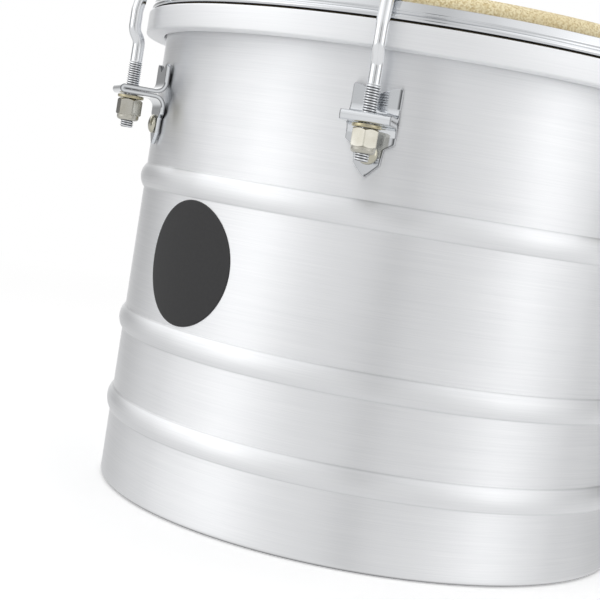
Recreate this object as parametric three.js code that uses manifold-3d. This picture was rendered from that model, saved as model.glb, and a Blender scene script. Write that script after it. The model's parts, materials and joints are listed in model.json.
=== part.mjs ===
// Cuica, a friction drum: an aluminium shell with three rolled beads, a goatskin head held down by a
// counterhoop on six claw hooks, and a bamboo stick lashed under the middle of the skin.
// Lengths are in millimetres. +Z is up, the origin is the centre of the base, and one hook stands at -Y.
import * as THREE from "three";
import { mergeVertices } from "three/addons/utils/BufferGeometryUtils.js";
import Module from "manifold-3d";

const wasm = await Module();
wasm.setup();

// Resolution
const ringSegments = 48; // steps round the drum
const smallSegments = 12; // steps round a washer, rivet, hole or the stick
const nutSegments = 18; // steps round a nut's turned surfaces
const rodSides = 8; // sides of a hook's round rod
const hookSteps = 21; // along a hook's rod

// Fits
const gap = 0.3; // space kept between two pieces that touch
const overrun = 2; // how far a cutting tool runs past what it cuts

// Shell
const shellRadius = 125; // outside of the plain wall
const shellHeight = 230.6; // base to the crest of the bearing edge
const shellWall = 1.5;
const baseHemWidth = 5; // flange turned inwards at the base
const baseHemRound = 1.6; // bend between wall and flange, on the sheet's middle
const bearingRoll = 4; // outer radius of the edge rolled inwards under the skin
const lowerBeads = [36.8, 75.5]; // heights of the lower two beads' middles
const topBeadDrop = 14.5; // brackets' points down to the top bead's middle
const beadWidth = 10.7;
const beadRise = 2.2; // how far a bead stands out

// Head ring, the channel that carries the skin
const ringStand = 9.6; // shell wall to the ring's outer face
const ringDrop = 23.4; // bearing edge's crest down to the ring's flat underside
const ringHeight = 10.4;
const ringWall = 1.6;
const ringClearance = 1; // running space round the shell
const skinEntry = 3; // depth below the ring's top at which the skin turns down

// Skin
const skinThickness = 0.9;
const skinTail = 0.7; // how far the tucked end stays below the ring's top
const bumpRadius = 8; // raised middle over the stick's tip
const bumpRise = 1.6;

// Counterhoop
const hoopInset = 0.85; // outside of its rolled bead, inside the ring's outer face
const hoopHeight = 7.8;
const hoopWall = 1.7;
const hoopBeadHeight = 3.1;
const hoopBandInset = 0.75; // band's foot, inside the bead's radius
const hoopCrease = 0.5; // groove between bead and band
const hoopLean = 1.1; // how far the band's top leans in
const hoopEdgeRound = 0.5;

// Tuning stations
const stationCount = 6;
const stationAngle = (2 * Math.PI) / stationCount;

// Claw bracket, one strap folded to an upper plate, a doubled shelf and a riveted lower plate
const strapThickness = 1.85;
const strapFoldGap = 0.2; // between the shelf's two layers
const strapBend = 4.4; // bend radius on the sheet's middle
const shelfDrop = 26; // ring's underside down to the shelf's upper face
const shelfReach = 21.4; // shell wall to the folded end
const bracketWidth = 19.8;
const earRise = 12; // ear tips above the shelf
const earFlat = 2.6; // length of an ear's tip
const earFall = 0.6; // how far the tip slopes inwards
const earRound = 1.1;
const notchDepth = 3.7; // the V between the ears
const shoulderDrop = 9.7; // shelf top to where the lower plate narrows
const shoulderHeight = 3.2;
const tabWidth = 11.8;
const tabEndWidth = 10.8;
const tabEndDrop = 18; // shelf top to where the tab's point starts
const tipDrop = 24; // shelf top to the point
const tipRound = 1.3;

// Hook, nut and washer
const rodAxisReach = 14.4; // shell wall to the rod's axis
const shankRadius = 2.65;
const threadRadius = 2.95;
const threadChamfer = 0.6;
const threadLength = 30;
const threadStickOut = 3.1; // below the nut
const holeClearance = 0.6; // round the thread, in the shelf and the washer
const bowReach = 2.9; // how far the rod steps out to pass the ring
const bowStartBelowRing = 8.2; // ring's underside down to the start of the step
const bowEndAboveRing = 0.8;
const leanStartBelowHoop = 11; // hoop's top down to where the rod leans in
const hookLean = 1.6; // how far the rod leans in before it turns over
const hookTurn = 5.2; // radius of the turn over the hoop
const clawWidth = 8;
const clawThickness = 4.3; // flattened end, over the hoop
const clawCorner = 1.6;
const lipDrop = 3.2; // lip inside the hoop, below the claw's seat
const washerRadius = 5.8;
const washerThickness = 1.5;
const nutFlats = 10; // across flats
const nutHexHeight = 7.2;
const nutChamfer = 0.7;
const nutCollarHeight = 2.3; // round locking collar
const nutCollarRadius = 4.9;
const nutCollarRound = 1.4;

// Rivet
const rivetDrop = 15; // shelf top down to its axis
const rivetShank = 2;
const rivetHeadRadius = 4.2;
const rivetHeadHeight = 2.3;
const rivetTailRadius = 3.2;
const rivetTailHeight = 1.1;
const rivetHoleClearance = 0.3;

// Stick and lashing
const stickLength = 190;
const stickRadius = 3.3;
const stickEndRadius = 3; // its lower end, worn by the hand
const stickKnotSpacing = 62; // between the cane's knots
const stickKnotRise = 0.45;
const stickKnotHeight = 3;
const stickNeckRadius = 2.2; // groove under the tip, where the cord sits
const stickNeckLength = 8.4;
const stickTipRadius = 3.1;
const lashingCord = 1; // diameter
const lashingPitch = 1.45;
const lashingTurns = 4;
const lashingPlay = 0.75; // cord to neck, room for the stick to rock
const lashingSteps = 16; // per turn
const lashingSides = 6;

// Derived places
const ringRadius = shellRadius + ringStand;
const ringBottom = shellHeight - ringDrop;
const hoopRadius = ringRadius - hoopInset;
const shelfTop = ringBottom - shelfDrop;
const beadHeights = [...lowerBeads, shelfTop - tipDrop - topBeadDrop];
const hoopBottom = ringBottom + ringHeight + gap;
const hoopTop = hoopBottom + hoopHeight;
const hoopBandOuter = hoopRadius - hoopBandInset;
const rodAxis = shellRadius + rodAxisReach;
const shelfThickness = 2 * strapThickness + strapFoldGap;
const shelfBottom = shelfTop - shelfThickness;
const washerTop = shelfBottom - gap;
const nutTop = washerTop - washerThickness - gap;
const nutHeight = nutHexHeight + nutCollarHeight;
const rodBottom = nutTop - nutHeight - threadStickOut;
const clawSeat = hoopTop + gap;
const lipBottom = clawSeat - lipDrop;
const plateInner = shellRadius + gap;
const rivetHeight = shelfTop - rivetDrop;
const skinHeight = shellHeight + gap + skinThickness / 2; // middle of the sheet
const skinRollRadius = bearingRoll + gap + skinThickness / 2;
const rollCentre = new THREE.Vector2(shellRadius - bearingRoll, shellHeight - bearingRoll);

// The channel's inner wall, its room and the wire that the skin is wrapped round.
const channelInner = shellRadius + ringClearance + ringWall;
const channelOuter = ringRadius - ringWall;
const skinWrapInner = channelInner + gap + skinThickness / 2;
const skinWrapOuter = channelOuter - gap - skinThickness / 2;
const skinWrapRadius = (skinWrapOuter - skinWrapInner) / 2;
const wireRadius = skinWrapRadius - skinThickness / 2 - gap;
const wireReach = skinWrapInner + skinWrapRadius;
const wireHeight = ringBottom + ringWall + gap + skinThickness / 2 + skinWrapRadius;
const skinBendHeight = ringBottom + ringHeight - skinEntry;

// Middle of the skin's sloping side, from the bearing edge to the bend into the channel.
function skinSideRadius(height) {
  const top = rollCentre.x + skinRollRadius;
  const share = (rollCentre.y - height) / (rollCentre.y - skinBendHeight);
  return top + share * (skinWrapInner - top);
}

// Closed outline of a sheet of even thickness whose middle follows the points of a path.
function sheetOutline(path, divisions, thickness) {
  const middle = path.getPoints(divisions);
  const normals = middle.slice(1).map((point, i) => {
    const along = point.clone().sub(middle[i]).normalize();
    return new THREE.Vector2(along.y, -along.x);
  });
  const side = (offset) =>
    middle.map((point, i) => {
      const before = normals[Math.max(i - 1, 0)];
      const after = normals[Math.min(i, normals.length - 1)];
      const mitre = before.clone().add(after).normalize();
      return point.clone().addScaledVector(mitre, offset / mitre.dot(after));
    });
  return [...side(thickness / 2), ...side(-thickness / 2).reverse()];
}

// Solid of revolution about +Z of a closed outline, or of one that starts and ends on the axis.
function revolve(outline, segments) {
  const area = THREE.ShapeUtils.area(outline);
  const turned = area > 0 ? [...outline] : [...outline].reverse();
  const onAxis = turned[0].x === 0 && turned[turned.length - 1].x === 0;
  if (!onAxis) turned.push(turned[0].clone());
  return new THREE.LatheGeometry(turned, segments).rotateX(Math.PI / 2);
}

// Prism of an outline in the plane of reach and height, centred across the station.
function acrossStation(outline, width) {
  const geometry = new THREE.ExtrudeGeometry(new THREE.Shape(outline), {
    depth: width,
    bevelEnabled: false,
  });
  return geometry.translate(0, 0, -width / 2).rotateX(Math.PI / 2);
}

// Prism of a front outline, running outwards between two reaches.
function outwards(outline, from, to) {
  const geometry = new THREE.ExtrudeGeometry(new THREE.Shape(outline), {
    depth: to - from,
    bevelEnabled: false,
  });
  return geometry.rotateX(Math.PI / 2).rotateZ(Math.PI / 2).translate(from, 0, 0);
}

// A closed geometry as a solid that can be cut and joined, and back again.
function solidOf(geometry) {
  const bare = geometry.clone();
  bare.deleteAttribute("normal");
  bare.deleteAttribute("uv");
  const merged = mergeVertices(bare, gap / 1000);
  return new wasm.Manifold(
    new wasm.Mesh({
      numProp: 3,
      vertProperties: merged.attributes.position.array,
      triVerts: new Uint32Array(merged.index.array),
    }),
  );
}

function geometryOf(solid) {
  const mesh = solid.getMesh();
  const geometry = new THREE.BufferGeometry();
  geometry.setAttribute("position", new THREE.BufferAttribute(mesh.vertProperties, mesh.numProp));
  geometry.setIndex(new THREE.BufferAttribute(mesh.triVerts, 1));
  geometry.computeVertexNormals();
  return geometry;
}

// Round peg along a station's outward direction or along +Z.
function peg(radius, length, segments) {
  return new THREE.CylinderGeometry(radius, radius, length, segments);
}

function radialPeg(radius, from, to, height, segments) {
  const geometry = peg(radius, to - from, segments).rotateZ(Math.PI / 2);
  return geometry.translate((from + to) / 2, 0, height);
}

function uprightPeg(radius, from, to, reach, segments) {
  const geometry = peg(radius, to - from, segments).rotateX(Math.PI / 2);
  return geometry.translate(reach, 0, (from + to) / 2);
}

// Direction of a station: its own X axis points outwards.
function stationTurn(index) {
  return index * stationAngle - Math.PI / 2;
}

// Finishes
const brushedAluminium = { color: 0xd4d6d8, roughness: 0.34, metalness: 1 };
const satinAluminium = { color: 0xd9dbdd, roughness: 0.4, metalness: 1 };
const chrome = { color: 0xe2e4e8, roughness: 0.12, metalness: 1 };
const zincSteel = { color: 0xb9bcc2, roughness: 0.3, metalness: 1 };
const yellowZinc = { color: 0xc8b878, roughness: 0.35, metalness: 1 };
const paleGold = { color: 0xd8cfae, roughness: 0.3, metalness: 1 };
const nickel = { color: 0xcfccc2, roughness: 0.25, metalness: 1 };
const goatskin = { color: 0xd9c48f, roughness: 0.75, metalness: 0 };
const bamboo = { color: 0xcaa663, roughness: 0.5, metalness: 0 };
const waxedCord = { color: 0xe6dcc0, roughness: 0.8, metalness: 0 };

function namedMesh(name, geometry, finish) {
  const mesh = new THREE.Mesh(geometry, new THREE.MeshStandardMaterial(finish));
  mesh.name = name;
  return mesh;
}

// The spun shell: base flange, wall with its beads and the edge rolled in under the skin.
function shellGeometry() {
  const wall = shellRadius - shellWall / 2;
  const path = new THREE.Path();
  path.moveTo(shellRadius - baseHemWidth, shellWall / 2);
  path.lineTo(wall - baseHemRound, shellWall / 2);
  path.quadraticCurveTo(wall, shellWall / 2, wall, shellWall / 2 + baseHemRound);
  const beadRadius = (beadWidth * beadWidth / 4 + beadRise * beadRise) / (2 * beadRise);
  const beadSweep = Math.asin(beadWidth / (2 * beadRadius));
  for (const height of beadHeights)
    path.absarc(wall + beadRise - beadRadius, height, beadRadius, -beadSweep, beadSweep, false);
  path.absarc(rollCentre.x, rollCentre.y, bearingRoll - shellWall / 2, 0, Math.PI, false);
  let solid = solidOf(revolve(sheetOutline(path, 2, shellWall), ringSegments));
  for (let index = 0; index < stationCount; index++) {
    const hole = radialPeg(
      rivetShank + rivetHoleClearance,
      shellRadius - shellWall - overrun,
      shellRadius + overrun,
      rivetHeight,
      smallSegments,
    );
    solid = solid.subtract(solidOf(hole.rotateZ(stationTurn(index))));
  }
  return geometryOf(solid);
}

// The channel ring: a low inner wall, a flat floor and a tall flat outer face.
function headRingGeometry() {
  const path = new THREE.Path();
  path.moveTo(channelInner - ringWall / 2, skinBendHeight - gap);
  path.lineTo(channelInner - ringWall / 2, ringBottom + ringWall / 2);
  path.lineTo(channelOuter + ringWall / 2, ringBottom + ringWall / 2);
  path.lineTo(channelOuter + ringWall / 2, ringBottom + ringHeight);
  return revolve(sheetOutline(path, 1, ringWall), ringSegments);
}

function fleshWireGeometry() {
  const path = new THREE.Path();
  path.absarc(wireReach, wireHeight, wireRadius, 0, 2 * Math.PI, false);
  return revolve(path.getPoints(3).slice(0, -1), ringSegments);
}

// The skin: raised middle, flat field, turn over the bearing edge, sloping side and the wrap in the channel.
function skinGeometry() {
  const path = new THREE.Path();
  path.moveTo(0, skinHeight + bumpRise);
  path.bezierCurveTo(
    bumpRadius / 2, skinHeight + bumpRise,
    bumpRadius / 2, skinHeight,
    bumpRadius, skinHeight,
  );
  path.lineTo(rollCentre.x, skinHeight);
  path.absarc(rollCentre.x, rollCentre.y, skinRollRadius, Math.PI / 2, 0, true);
  path.lineTo(skinWrapInner, skinBendHeight);
  path.absarc(wireReach, wireHeight, skinWrapRadius, Math.PI, 2 * Math.PI, false);
  path.lineTo(skinWrapOuter, ringBottom + ringHeight - skinTail);
  return revolve(sheetOutline(path, 2, skinThickness), ringSegments);
}

// The pressed hoop: a rolled bead at its foot, a crease and a band that leans in to a thin top edge.
function hoopGeometry() {
  const beadRound = hoopBeadHeight / 2;
  const creaseHeight = hoopBottom + hoopBeadHeight;
  const bandInner = hoopBandOuter - hoopWall;
  const path = new THREE.Path();
  path.moveTo(bandInner, hoopBottom);
  path.lineTo(hoopRadius - beadRound, hoopBottom);
  path.absarc(hoopRadius - beadRound, hoopBottom + beadRound, beadRound, -Math.PI / 2, Math.PI / 2, false);
  path.lineTo(hoopBandOuter - hoopCrease, creaseHeight + hoopCrease / 2);
  path.lineTo(hoopBandOuter, creaseHeight + hoopCrease);
  path.lineTo(hoopBandOuter - hoopLean, hoopTop - hoopEdgeRound);
  path.lineTo(hoopBandOuter - hoopLean - hoopEdgeRound, hoopTop);
  path.lineTo(bandInner - hoopLean + hoopEdgeRound, hoopTop);
  path.lineTo(bandInner - hoopLean, hoopTop - hoopEdgeRound);
  path.lineTo(bandInner, creaseHeight);
  return revolve(path.getPoints(2), ringSegments);
}

// The strap seen from its side: down the upper plate, out along the shelf, back under it and down.
function strapSide() {
  const plate = plateInner + strapThickness / 2;
  const upperLayer = shelfTop - strapThickness / 2;
  const lowerLayer = shelfBottom + strapThickness / 2;
  const foldRadius = (upperLayer - lowerLayer) / 2;
  const foldCentre = shellRadius + shelfReach - strapThickness / 2 - foldRadius;
  const bendCentre = plate + strapBend;
  const path = new THREE.Path();
  path.moveTo(plate, shelfTop + earRise);
  path.lineTo(plate, upperLayer + strapBend);
  path.absarc(bendCentre, upperLayer + strapBend, strapBend, Math.PI, 1.5 * Math.PI, false);
  path.absarc(foldCentre, lowerLayer + foldRadius, foldRadius, Math.PI / 2, -Math.PI / 2, true);
  path.absarc(bendCentre, lowerLayer - strapBend, strapBend, Math.PI / 2, Math.PI, false);
  path.lineTo(plate, shelfTop - tipDrop);
  return sheetOutline(path, 2, strapThickness);
}

// The strap seen from the front: eared top with its V, shoulders, narrow tab and point.
function strapFront() {
  const half = bracketWidth / 2;
  const tab = tabWidth / 2;
  const tabEnd = tabEndWidth / 2;
  const earTop = shelfTop + earRise;
  const shoulder = shelfTop - shoulderDrop;
  const tip = shelfTop - tipDrop;
  const path = new THREE.Path();
  path.moveTo(0, tip);
  path.lineTo(tipRound, tip + tipRound / 2);
  path.lineTo(tabEnd, shelfTop - tabEndDrop);
  path.lineTo(tab, shoulder - shoulderHeight);
  path.bezierCurveTo(
    tab, shoulder - shoulderHeight / 2,
    half, shoulder - shoulderHeight / 2,
    half, shoulder,
  );
  path.lineTo(half, earTop - earRound);
  path.quadraticCurveTo(half, earTop, half - earRound, earTop);
  path.lineTo(half - earRound - earFlat, earTop - earFall);
  path.lineTo(0, earTop - notchDepth);
  const right = path.getPoints(3);
  const left = right.slice(1, -1).map((point) => new THREE.Vector2(-point.x, point.y));
  return [...right, ...left.reverse()];
}

function bracketGeometry() {
  const side = solidOf(acrossStation(strapSide(), bracketWidth + overrun));
  const front = solidOf(outwards(strapFront(), shellRadius, shellRadius + shelfReach + overrun));
  const rodHole = uprightPeg(
    threadRadius + holeClearance,
    shelfBottom - overrun,
    shelfTop + overrun,
    rodAxis,
    smallSegments,
  );
  const rivetHole = radialPeg(
    rivetShank + rivetHoleClearance,
    shellRadius - overrun,
    plateInner + strapThickness + overrun,
    rivetHeight,
    smallSegments,
  );
  return geometryOf(side.intersect(front).subtract(solidOf(rodHole)).subtract(solidOf(rivetHole)));
}

// The hook's rod: threaded foot, straight shank, step outwards past the ring, lean in and turn over.
function hookPath() {
  const at = (reach, height) => new THREE.Vector3(reach, 0, height);
  const bow = rodAxis + bowReach;
  const bowStart = ringBottom - bowStartBelowRing;
  const bowEnd = ringBottom + bowEndAboveRing;
  const bowMiddle = (bowStart + bowEnd) / 2;
  const leanStart = hoopTop - leanStartBelowHoop;
  const overHeight = clawSeat + shankRadius;
  const turnStart = overHeight - hookTurn;
  const turnReach = bow - hookLean;
  const rodEnd = shellRadius + bearingRoll;
  const path = new THREE.CurvePath();
  path.add(new THREE.LineCurve3(at(rodAxis, rodBottom + threadChamfer), at(rodAxis, bowStart)));
  path.add(
    new THREE.CubicBezierCurve3(
      at(rodAxis, bowStart),
      at(rodAxis, bowMiddle),
      at(bow, bowMiddle),
      at(bow, bowEnd),
    ),
  );
  path.add(new THREE.LineCurve3(at(bow, bowEnd), at(bow, leanStart)));
  path.add(new THREE.LineCurve3(at(bow, leanStart), at(turnReach, turnStart)));
  path.add(
    new THREE.QuadraticBezierCurve3(
      at(turnReach, turnStart),
      at(turnReach, overHeight),
      at(turnReach - hookTurn, overHeight),
    ),
  );
  path.add(new THREE.LineCurve3(at(turnReach - hookTurn, overHeight), at(rodEnd, overHeight)));
  return path;
}

// The flattened claw: a plate over the hoop with a lip that drops between hoop and skin.
function clawOutline() {
  const skinOuter = skinSideRadius(lipBottom) + skinThickness / 2;
  const lipInner = skinOuter + gap;
  const lipOuter = hoopBandOuter - hoopWall - hoopLean - gap;
  const heel = hoopRadius + bowReach;
  const clawTop = clawSeat + clawThickness;
  const path = new THREE.Path();
  path.moveTo(lipInner, lipBottom);
  path.lineTo(lipOuter, lipBottom);
  path.lineTo(lipOuter, clawSeat);
  path.lineTo(heel, clawSeat);
  path.lineTo(heel + shankRadius, clawSeat + clawThickness / 2);
  path.lineTo(heel, clawTop);
  path.lineTo(lipInner + clawCorner, clawTop);
  path.quadraticCurveTo(lipInner, clawTop, lipInner, clawTop - clawCorner);
  return path.getPoints(3);
}

function hookGeometry() {
  const circle = new THREE.Path();
  circle.absarc(0, 0, shankRadius, 0, 2 * Math.PI, false);
  const section = new THREE.Shape(circle.getPoints(rodSides / 2).slice(0, -1));
  const rod = new THREE.ExtrudeGeometry(section, {
    steps: hookSteps,
    extrudePath: hookPath(),
    bevelEnabled: false,
  });
  const foot = [
    new THREE.Vector2(0, rodBottom),
    new THREE.Vector2(threadRadius - threadChamfer, rodBottom),
    new THREE.Vector2(threadRadius, rodBottom + threadChamfer),
    new THREE.Vector2(threadRadius, rodBottom + threadLength),
    new THREE.Vector2(0, rodBottom + threadLength + threadChamfer),
  ];
  const thread = revolve(foot, smallSegments).translate(rodAxis, 0, 0);
  const claw = acrossStation(clawOutline(), clawWidth);
  return geometryOf(solidOf(rod).add(solidOf(thread)).add(solidOf(claw)));
}

function washerGeometry() {
  const path = new THREE.Path();
  path.moveTo(threadRadius + holeClearance, 0);
  path.lineTo(washerRadius, 0);
  path.lineTo(washerRadius, washerThickness);
  path.lineTo(threadRadius + holeClearance, washerThickness);
  return revolve(path.getPoints(), smallSegments);
}

// The nut: a hexagon with rounded-off upper corners over a round locking collar.
function nutGeometry() {
  const corner = nutFlats / Math.sqrt(3);
  const hex = uprightPeg(corner, 0, nutHeight, 0, 6);
  const turned = new THREE.Path();
  turned.moveTo(0, 0);
  turned.lineTo(nutCollarRadius - nutCollarRound, 0);
  turned.quadraticCurveTo(nutCollarRadius, 0, nutCollarRadius, nutCollarRound);
  turned.lineTo(nutCollarRadius, nutCollarHeight);
  turned.lineTo(corner, nutCollarHeight);
  turned.lineTo(corner, nutHeight - nutChamfer);
  turned.lineTo(corner - nutChamfer, nutHeight);
  turned.lineTo(0, nutHeight);
  const blank = solidOf(hex).intersect(solidOf(revolve(turned.getPoints(2), nutSegments)));
  const bore = uprightPeg(threadRadius + gap, -overrun, nutHeight + overrun, 0, smallSegments);
  return geometryOf(blank.subtract(solidOf(bore)));
}

// The rivet, about its own axis: tail inside the shell at the start, domed head at the end.
function rivetGeometry() {
  const inner = shellRadius - shellWall - gap;
  const outer = plateInner + strapThickness + gap;
  const path = new THREE.Path();
  path.moveTo(0, inner - rivetTailHeight);
  path.lineTo(rivetTailRadius / 2, inner - rivetTailHeight);
  path.lineTo(rivetTailRadius, inner - rivetTailHeight / 2);
  path.lineTo(rivetTailRadius, inner);
  path.lineTo(rivetShank, inner);
  path.lineTo(rivetShank, outer);
  path.lineTo(rivetHeadRadius, outer);
  path.quadraticCurveTo(
    rivetHeadRadius * Math.SQRT1_2, outer + rivetHeadHeight,
    0, outer + rivetHeadHeight,
  );
  return revolve(path.getPoints(3), smallSegments).rotateY(Math.PI / 2);
}

// The cane: round tip under the skin, grooved neck for the lashing, and knots along its length.
const tipCentre = skinHeight + bumpRise - skinThickness / 2 - gap - stickTipRadius;

function stickGeometry() {
  const neckTop = tipCentre - Math.sqrt(stickTipRadius ** 2 - stickNeckRadius ** 2);
  const neckBottom = neckTop - stickNeckLength;
  const bottom = tipCentre + stickTipRadius - stickLength;
  const path = new THREE.Path();
  path.moveTo(0, bottom);
  path.lineTo(stickEndRadius * 0.75, bottom);
  path.lineTo(stickEndRadius, bottom + stickEndRadius / 4);
  for (let knot = bottom + stickKnotSpacing; knot < neckBottom; knot += stickKnotSpacing) {
    path.lineTo(stickRadius, knot - stickKnotHeight / 2);
    path.lineTo(stickRadius + stickKnotRise, knot);
    path.lineTo(stickRadius, knot + stickKnotHeight / 2);
  }
  path.lineTo(stickRadius, neckBottom - stickRadius / 2);
  path.lineTo(stickNeckRadius, neckBottom);
  const tipStart = Math.asin((neckTop - tipCentre) / stickTipRadius);
  path.absarc(0, tipCentre, stickTipRadius, tipStart, Math.PI / 2, false);
  const outline = path.getPoints(3);
  outline[outline.length - 1].x = 0;
  return revolve(outline, smallSegments);
}

// The lashing: one cord wound round the neck as an even helix.
class LashingHelix extends THREE.Curve {
  constructor(radius, top) {
    super();
    this.radius = radius;
    this.top = top;
  }

  getPoint(t, target = new THREE.Vector3()) {
    const angle = t * lashingTurns * 2 * Math.PI;
    const height = this.top - t * lashingTurns * lashingPitch;
    return target.set(this.radius * Math.cos(angle), this.radius * Math.sin(angle), height);
  }
}

const lashingRadius = stickNeckRadius + lashingPlay + lashingCord / 2;
const lashingTop = tipCentre - stickTipRadius / 2;

function lashingGeometry() {
  const circle = new THREE.Path();
  circle.absarc(0, 0, lashingCord / 2, 0, 2 * Math.PI, false);
  return new THREE.ExtrudeGeometry(
    new THREE.Shape(circle.getPoints(lashingSides / 2).slice(0, -1)),
    {
      steps: lashingTurns * lashingSteps,
      extrudePath: new LashingHelix(lashingRadius, lashingTop),
      bevelEnabled: false,
    },
  );
}

// Least space between the cord and itself, measured between points half a turn or more apart.
function lashingLeastGap() {
  const points = new LashingHelix(lashingRadius, lashingTop).getPoints(lashingTurns * lashingSteps);
  let least = Infinity;
  for (let i = 0; i < points.length; i++)
    for (let j = i + lashingSteps / 2; j < points.length; j++)
      least = Math.min(least, points[i].distanceTo(points[j]) - lashingCord);
  return least;
}

// One tuning station, in its own frame: X outwards, Z up.
function station(index) {
  const group = new THREE.Group();
  group.rotation.z = stationTurn(index);
  const number = index + 1;
  const washer = namedMesh("washer_" + number, washerGeometry(), yellowZinc);
  washer.position.set(rodAxis, 0, washerTop - washerThickness);
  const nut = namedMesh("lock_nut_" + number, nutGeometry(), paleGold);
  nut.position.set(rodAxis, 0, nutTop - nutHeight);
  const rivet = namedMesh("rivet_" + number, rivetGeometry(), nickel);
  rivet.position.z = rivetHeight;
  group.add(
    namedMesh("claw_bracket_" + number, bracketGeometry(), chrome),
    namedMesh("claw_hook_" + number, hookGeometry(), zincSteel),
    washer,
    nut,
    rivet,
  );
  return group;
}

console.log("lashing, least gap to itself: " + lashingLeastGap().toFixed(2) + " mm");

const cuica = new THREE.Group();
cuica.add(
  namedMesh("shell", shellGeometry(), brushedAluminium),
  namedMesh("head_ring", headRingGeometry(), satinAluminium),
  namedMesh("flesh_wire", fleshWireGeometry(), zincSteel),
  namedMesh("head_skin", skinGeometry(), goatskin),
  namedMesh("counterhoop", hoopGeometry(), chrome),
  namedMesh("friction_stick", stickGeometry(), bamboo),
  namedMesh("stick_lashing", lashingGeometry(), waxedCord),
);
for (let index = 0; index < stationCount; index++) cuica.add(station(index));

export default cuica;
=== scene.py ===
"""Visual model of a cuica, a friction drum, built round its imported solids.

Sizes are in millimetres until a mesh is made. +Z is up along the drum's axis, the origin is the
centre of the base, and one tuning station stands at -Y with the others every 60 degrees towards +X.
"""

import json
import logging
import math
from dataclasses import dataclass, field, replace
from enum import Enum

import bpy
import numpy as np
from mathutils import Matrix, Vector


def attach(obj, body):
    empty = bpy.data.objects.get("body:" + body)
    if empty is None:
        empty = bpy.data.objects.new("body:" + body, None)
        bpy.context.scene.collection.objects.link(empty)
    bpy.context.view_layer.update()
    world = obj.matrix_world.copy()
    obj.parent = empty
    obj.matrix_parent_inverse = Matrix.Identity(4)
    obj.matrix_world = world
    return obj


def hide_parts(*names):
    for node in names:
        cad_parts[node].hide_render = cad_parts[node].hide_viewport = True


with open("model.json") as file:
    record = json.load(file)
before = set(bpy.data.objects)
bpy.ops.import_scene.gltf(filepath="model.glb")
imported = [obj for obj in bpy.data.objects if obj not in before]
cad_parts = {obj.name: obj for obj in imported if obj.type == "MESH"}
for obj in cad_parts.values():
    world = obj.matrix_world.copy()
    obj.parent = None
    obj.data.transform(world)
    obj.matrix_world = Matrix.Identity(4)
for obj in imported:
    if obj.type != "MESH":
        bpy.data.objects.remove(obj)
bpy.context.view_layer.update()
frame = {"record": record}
SLOTS = {material["slot"] for material in frame["record"]["materials"]}
LOG = logging.getLogger("cuica")
MM = 0.001
# Vertex attribute of painted shade, which darkens a metal's colour in gaps, creases, roots and
# edges.
PAINTED_SHADE = "grime"
CAP_STEPS = 6
SHARP_EDGE = 35.0
FULL_TURN = 2 * np.pi

Colour = tuple[float, float, float]
Point = tuple[float, float]
Stops = tuple[tuple[float, float], ...]
Level = float | bpy.types.NodeSocket
Sockets = dict[str, bpy.types.NodeSocket]


# ---------------------------------------------------------------- shared sizes


@dataclass(frozen=True)
class Layout:
    """Sizes and heights that several sub-assemblies share, in millimetres."""

    shell_radius: float = 125.0
    shell_height: float = 230.6
    shell_wall: float = 1.5
    bearing_roll: float = 4.0
    ring_radius: float = 134.6
    ring_bottom: float = 207.2
    ring_height: float = 10.4
    ring_wall: float = 1.6
    ring_clearance: float = 1.0
    hoop_radius: float = 133.75
    hoop_height: float = 7.8
    gap: float = 0.3
    skin_thickness: float = 0.9
    skin_entry: float = 3.0
    shelf_top: float = 181.2
    strap: float = 1.85
    fold_gap: float = 0.2
    rivet_drop: float = 15.0
    rod_reach: float = 14.4
    thread_radius: float = 2.95
    washer_thickness: float = 1.5
    nut_height: float = 9.5
    station_count: int = 6

    @property
    def ring_top(self) -> float:
        """Height of the head ring's upper edge."""
        return self.ring_bottom + self.ring_height

    @property
    def hoop_bottom(self) -> float:
        """Height of the counterhoop's foot."""
        return self.ring_top + self.gap

    @property
    def hoop_top(self) -> float:
        """Height of the counterhoop's upper edge."""
        return self.hoop_bottom + self.hoop_height

    @property
    def rod_axis(self) -> float:
        """Reach of a hook's threaded rod from the drum's axis."""
        return self.shell_radius + self.rod_reach

    @property
    def shelf_bottom(self) -> float:
        """Height of a bracket shelf's lower face."""
        return self.shelf_top - 2 * self.strap - self.fold_gap

    @property
    def washer_bottom(self) -> float:
        """Height of a washer's lower face."""
        return self.shelf_bottom - self.gap - self.washer_thickness

    @property
    def nut_bottom(self) -> float:
        """Height of a lock nut's collar end."""
        return self.washer_bottom - self.gap - self.nut_height

    @property
    def plate_inner(self) -> float:
        """Reach of a bracket plate's face against the shell."""
        return self.shell_radius + self.gap

    @property
    def plate_middle(self) -> float:
        """Reach of the middle of a bracket plate's thickness."""
        return self.plate_inner + self.strap / 2

    @property
    def skin_height(self) -> float:
        """Height of the middle of the stretched skin."""
        return self.shell_height + self.gap + self.skin_thickness / 2

    def station_turn(self, number: int) -> float:
        """Angle in radians that turns +X to the outward direction of a station, counted from 1."""
        return (number - 1) * 2 * math.pi / self.station_count - math.pi / 2


# ---------------------------------------------------------------- curves and surfaces


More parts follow.
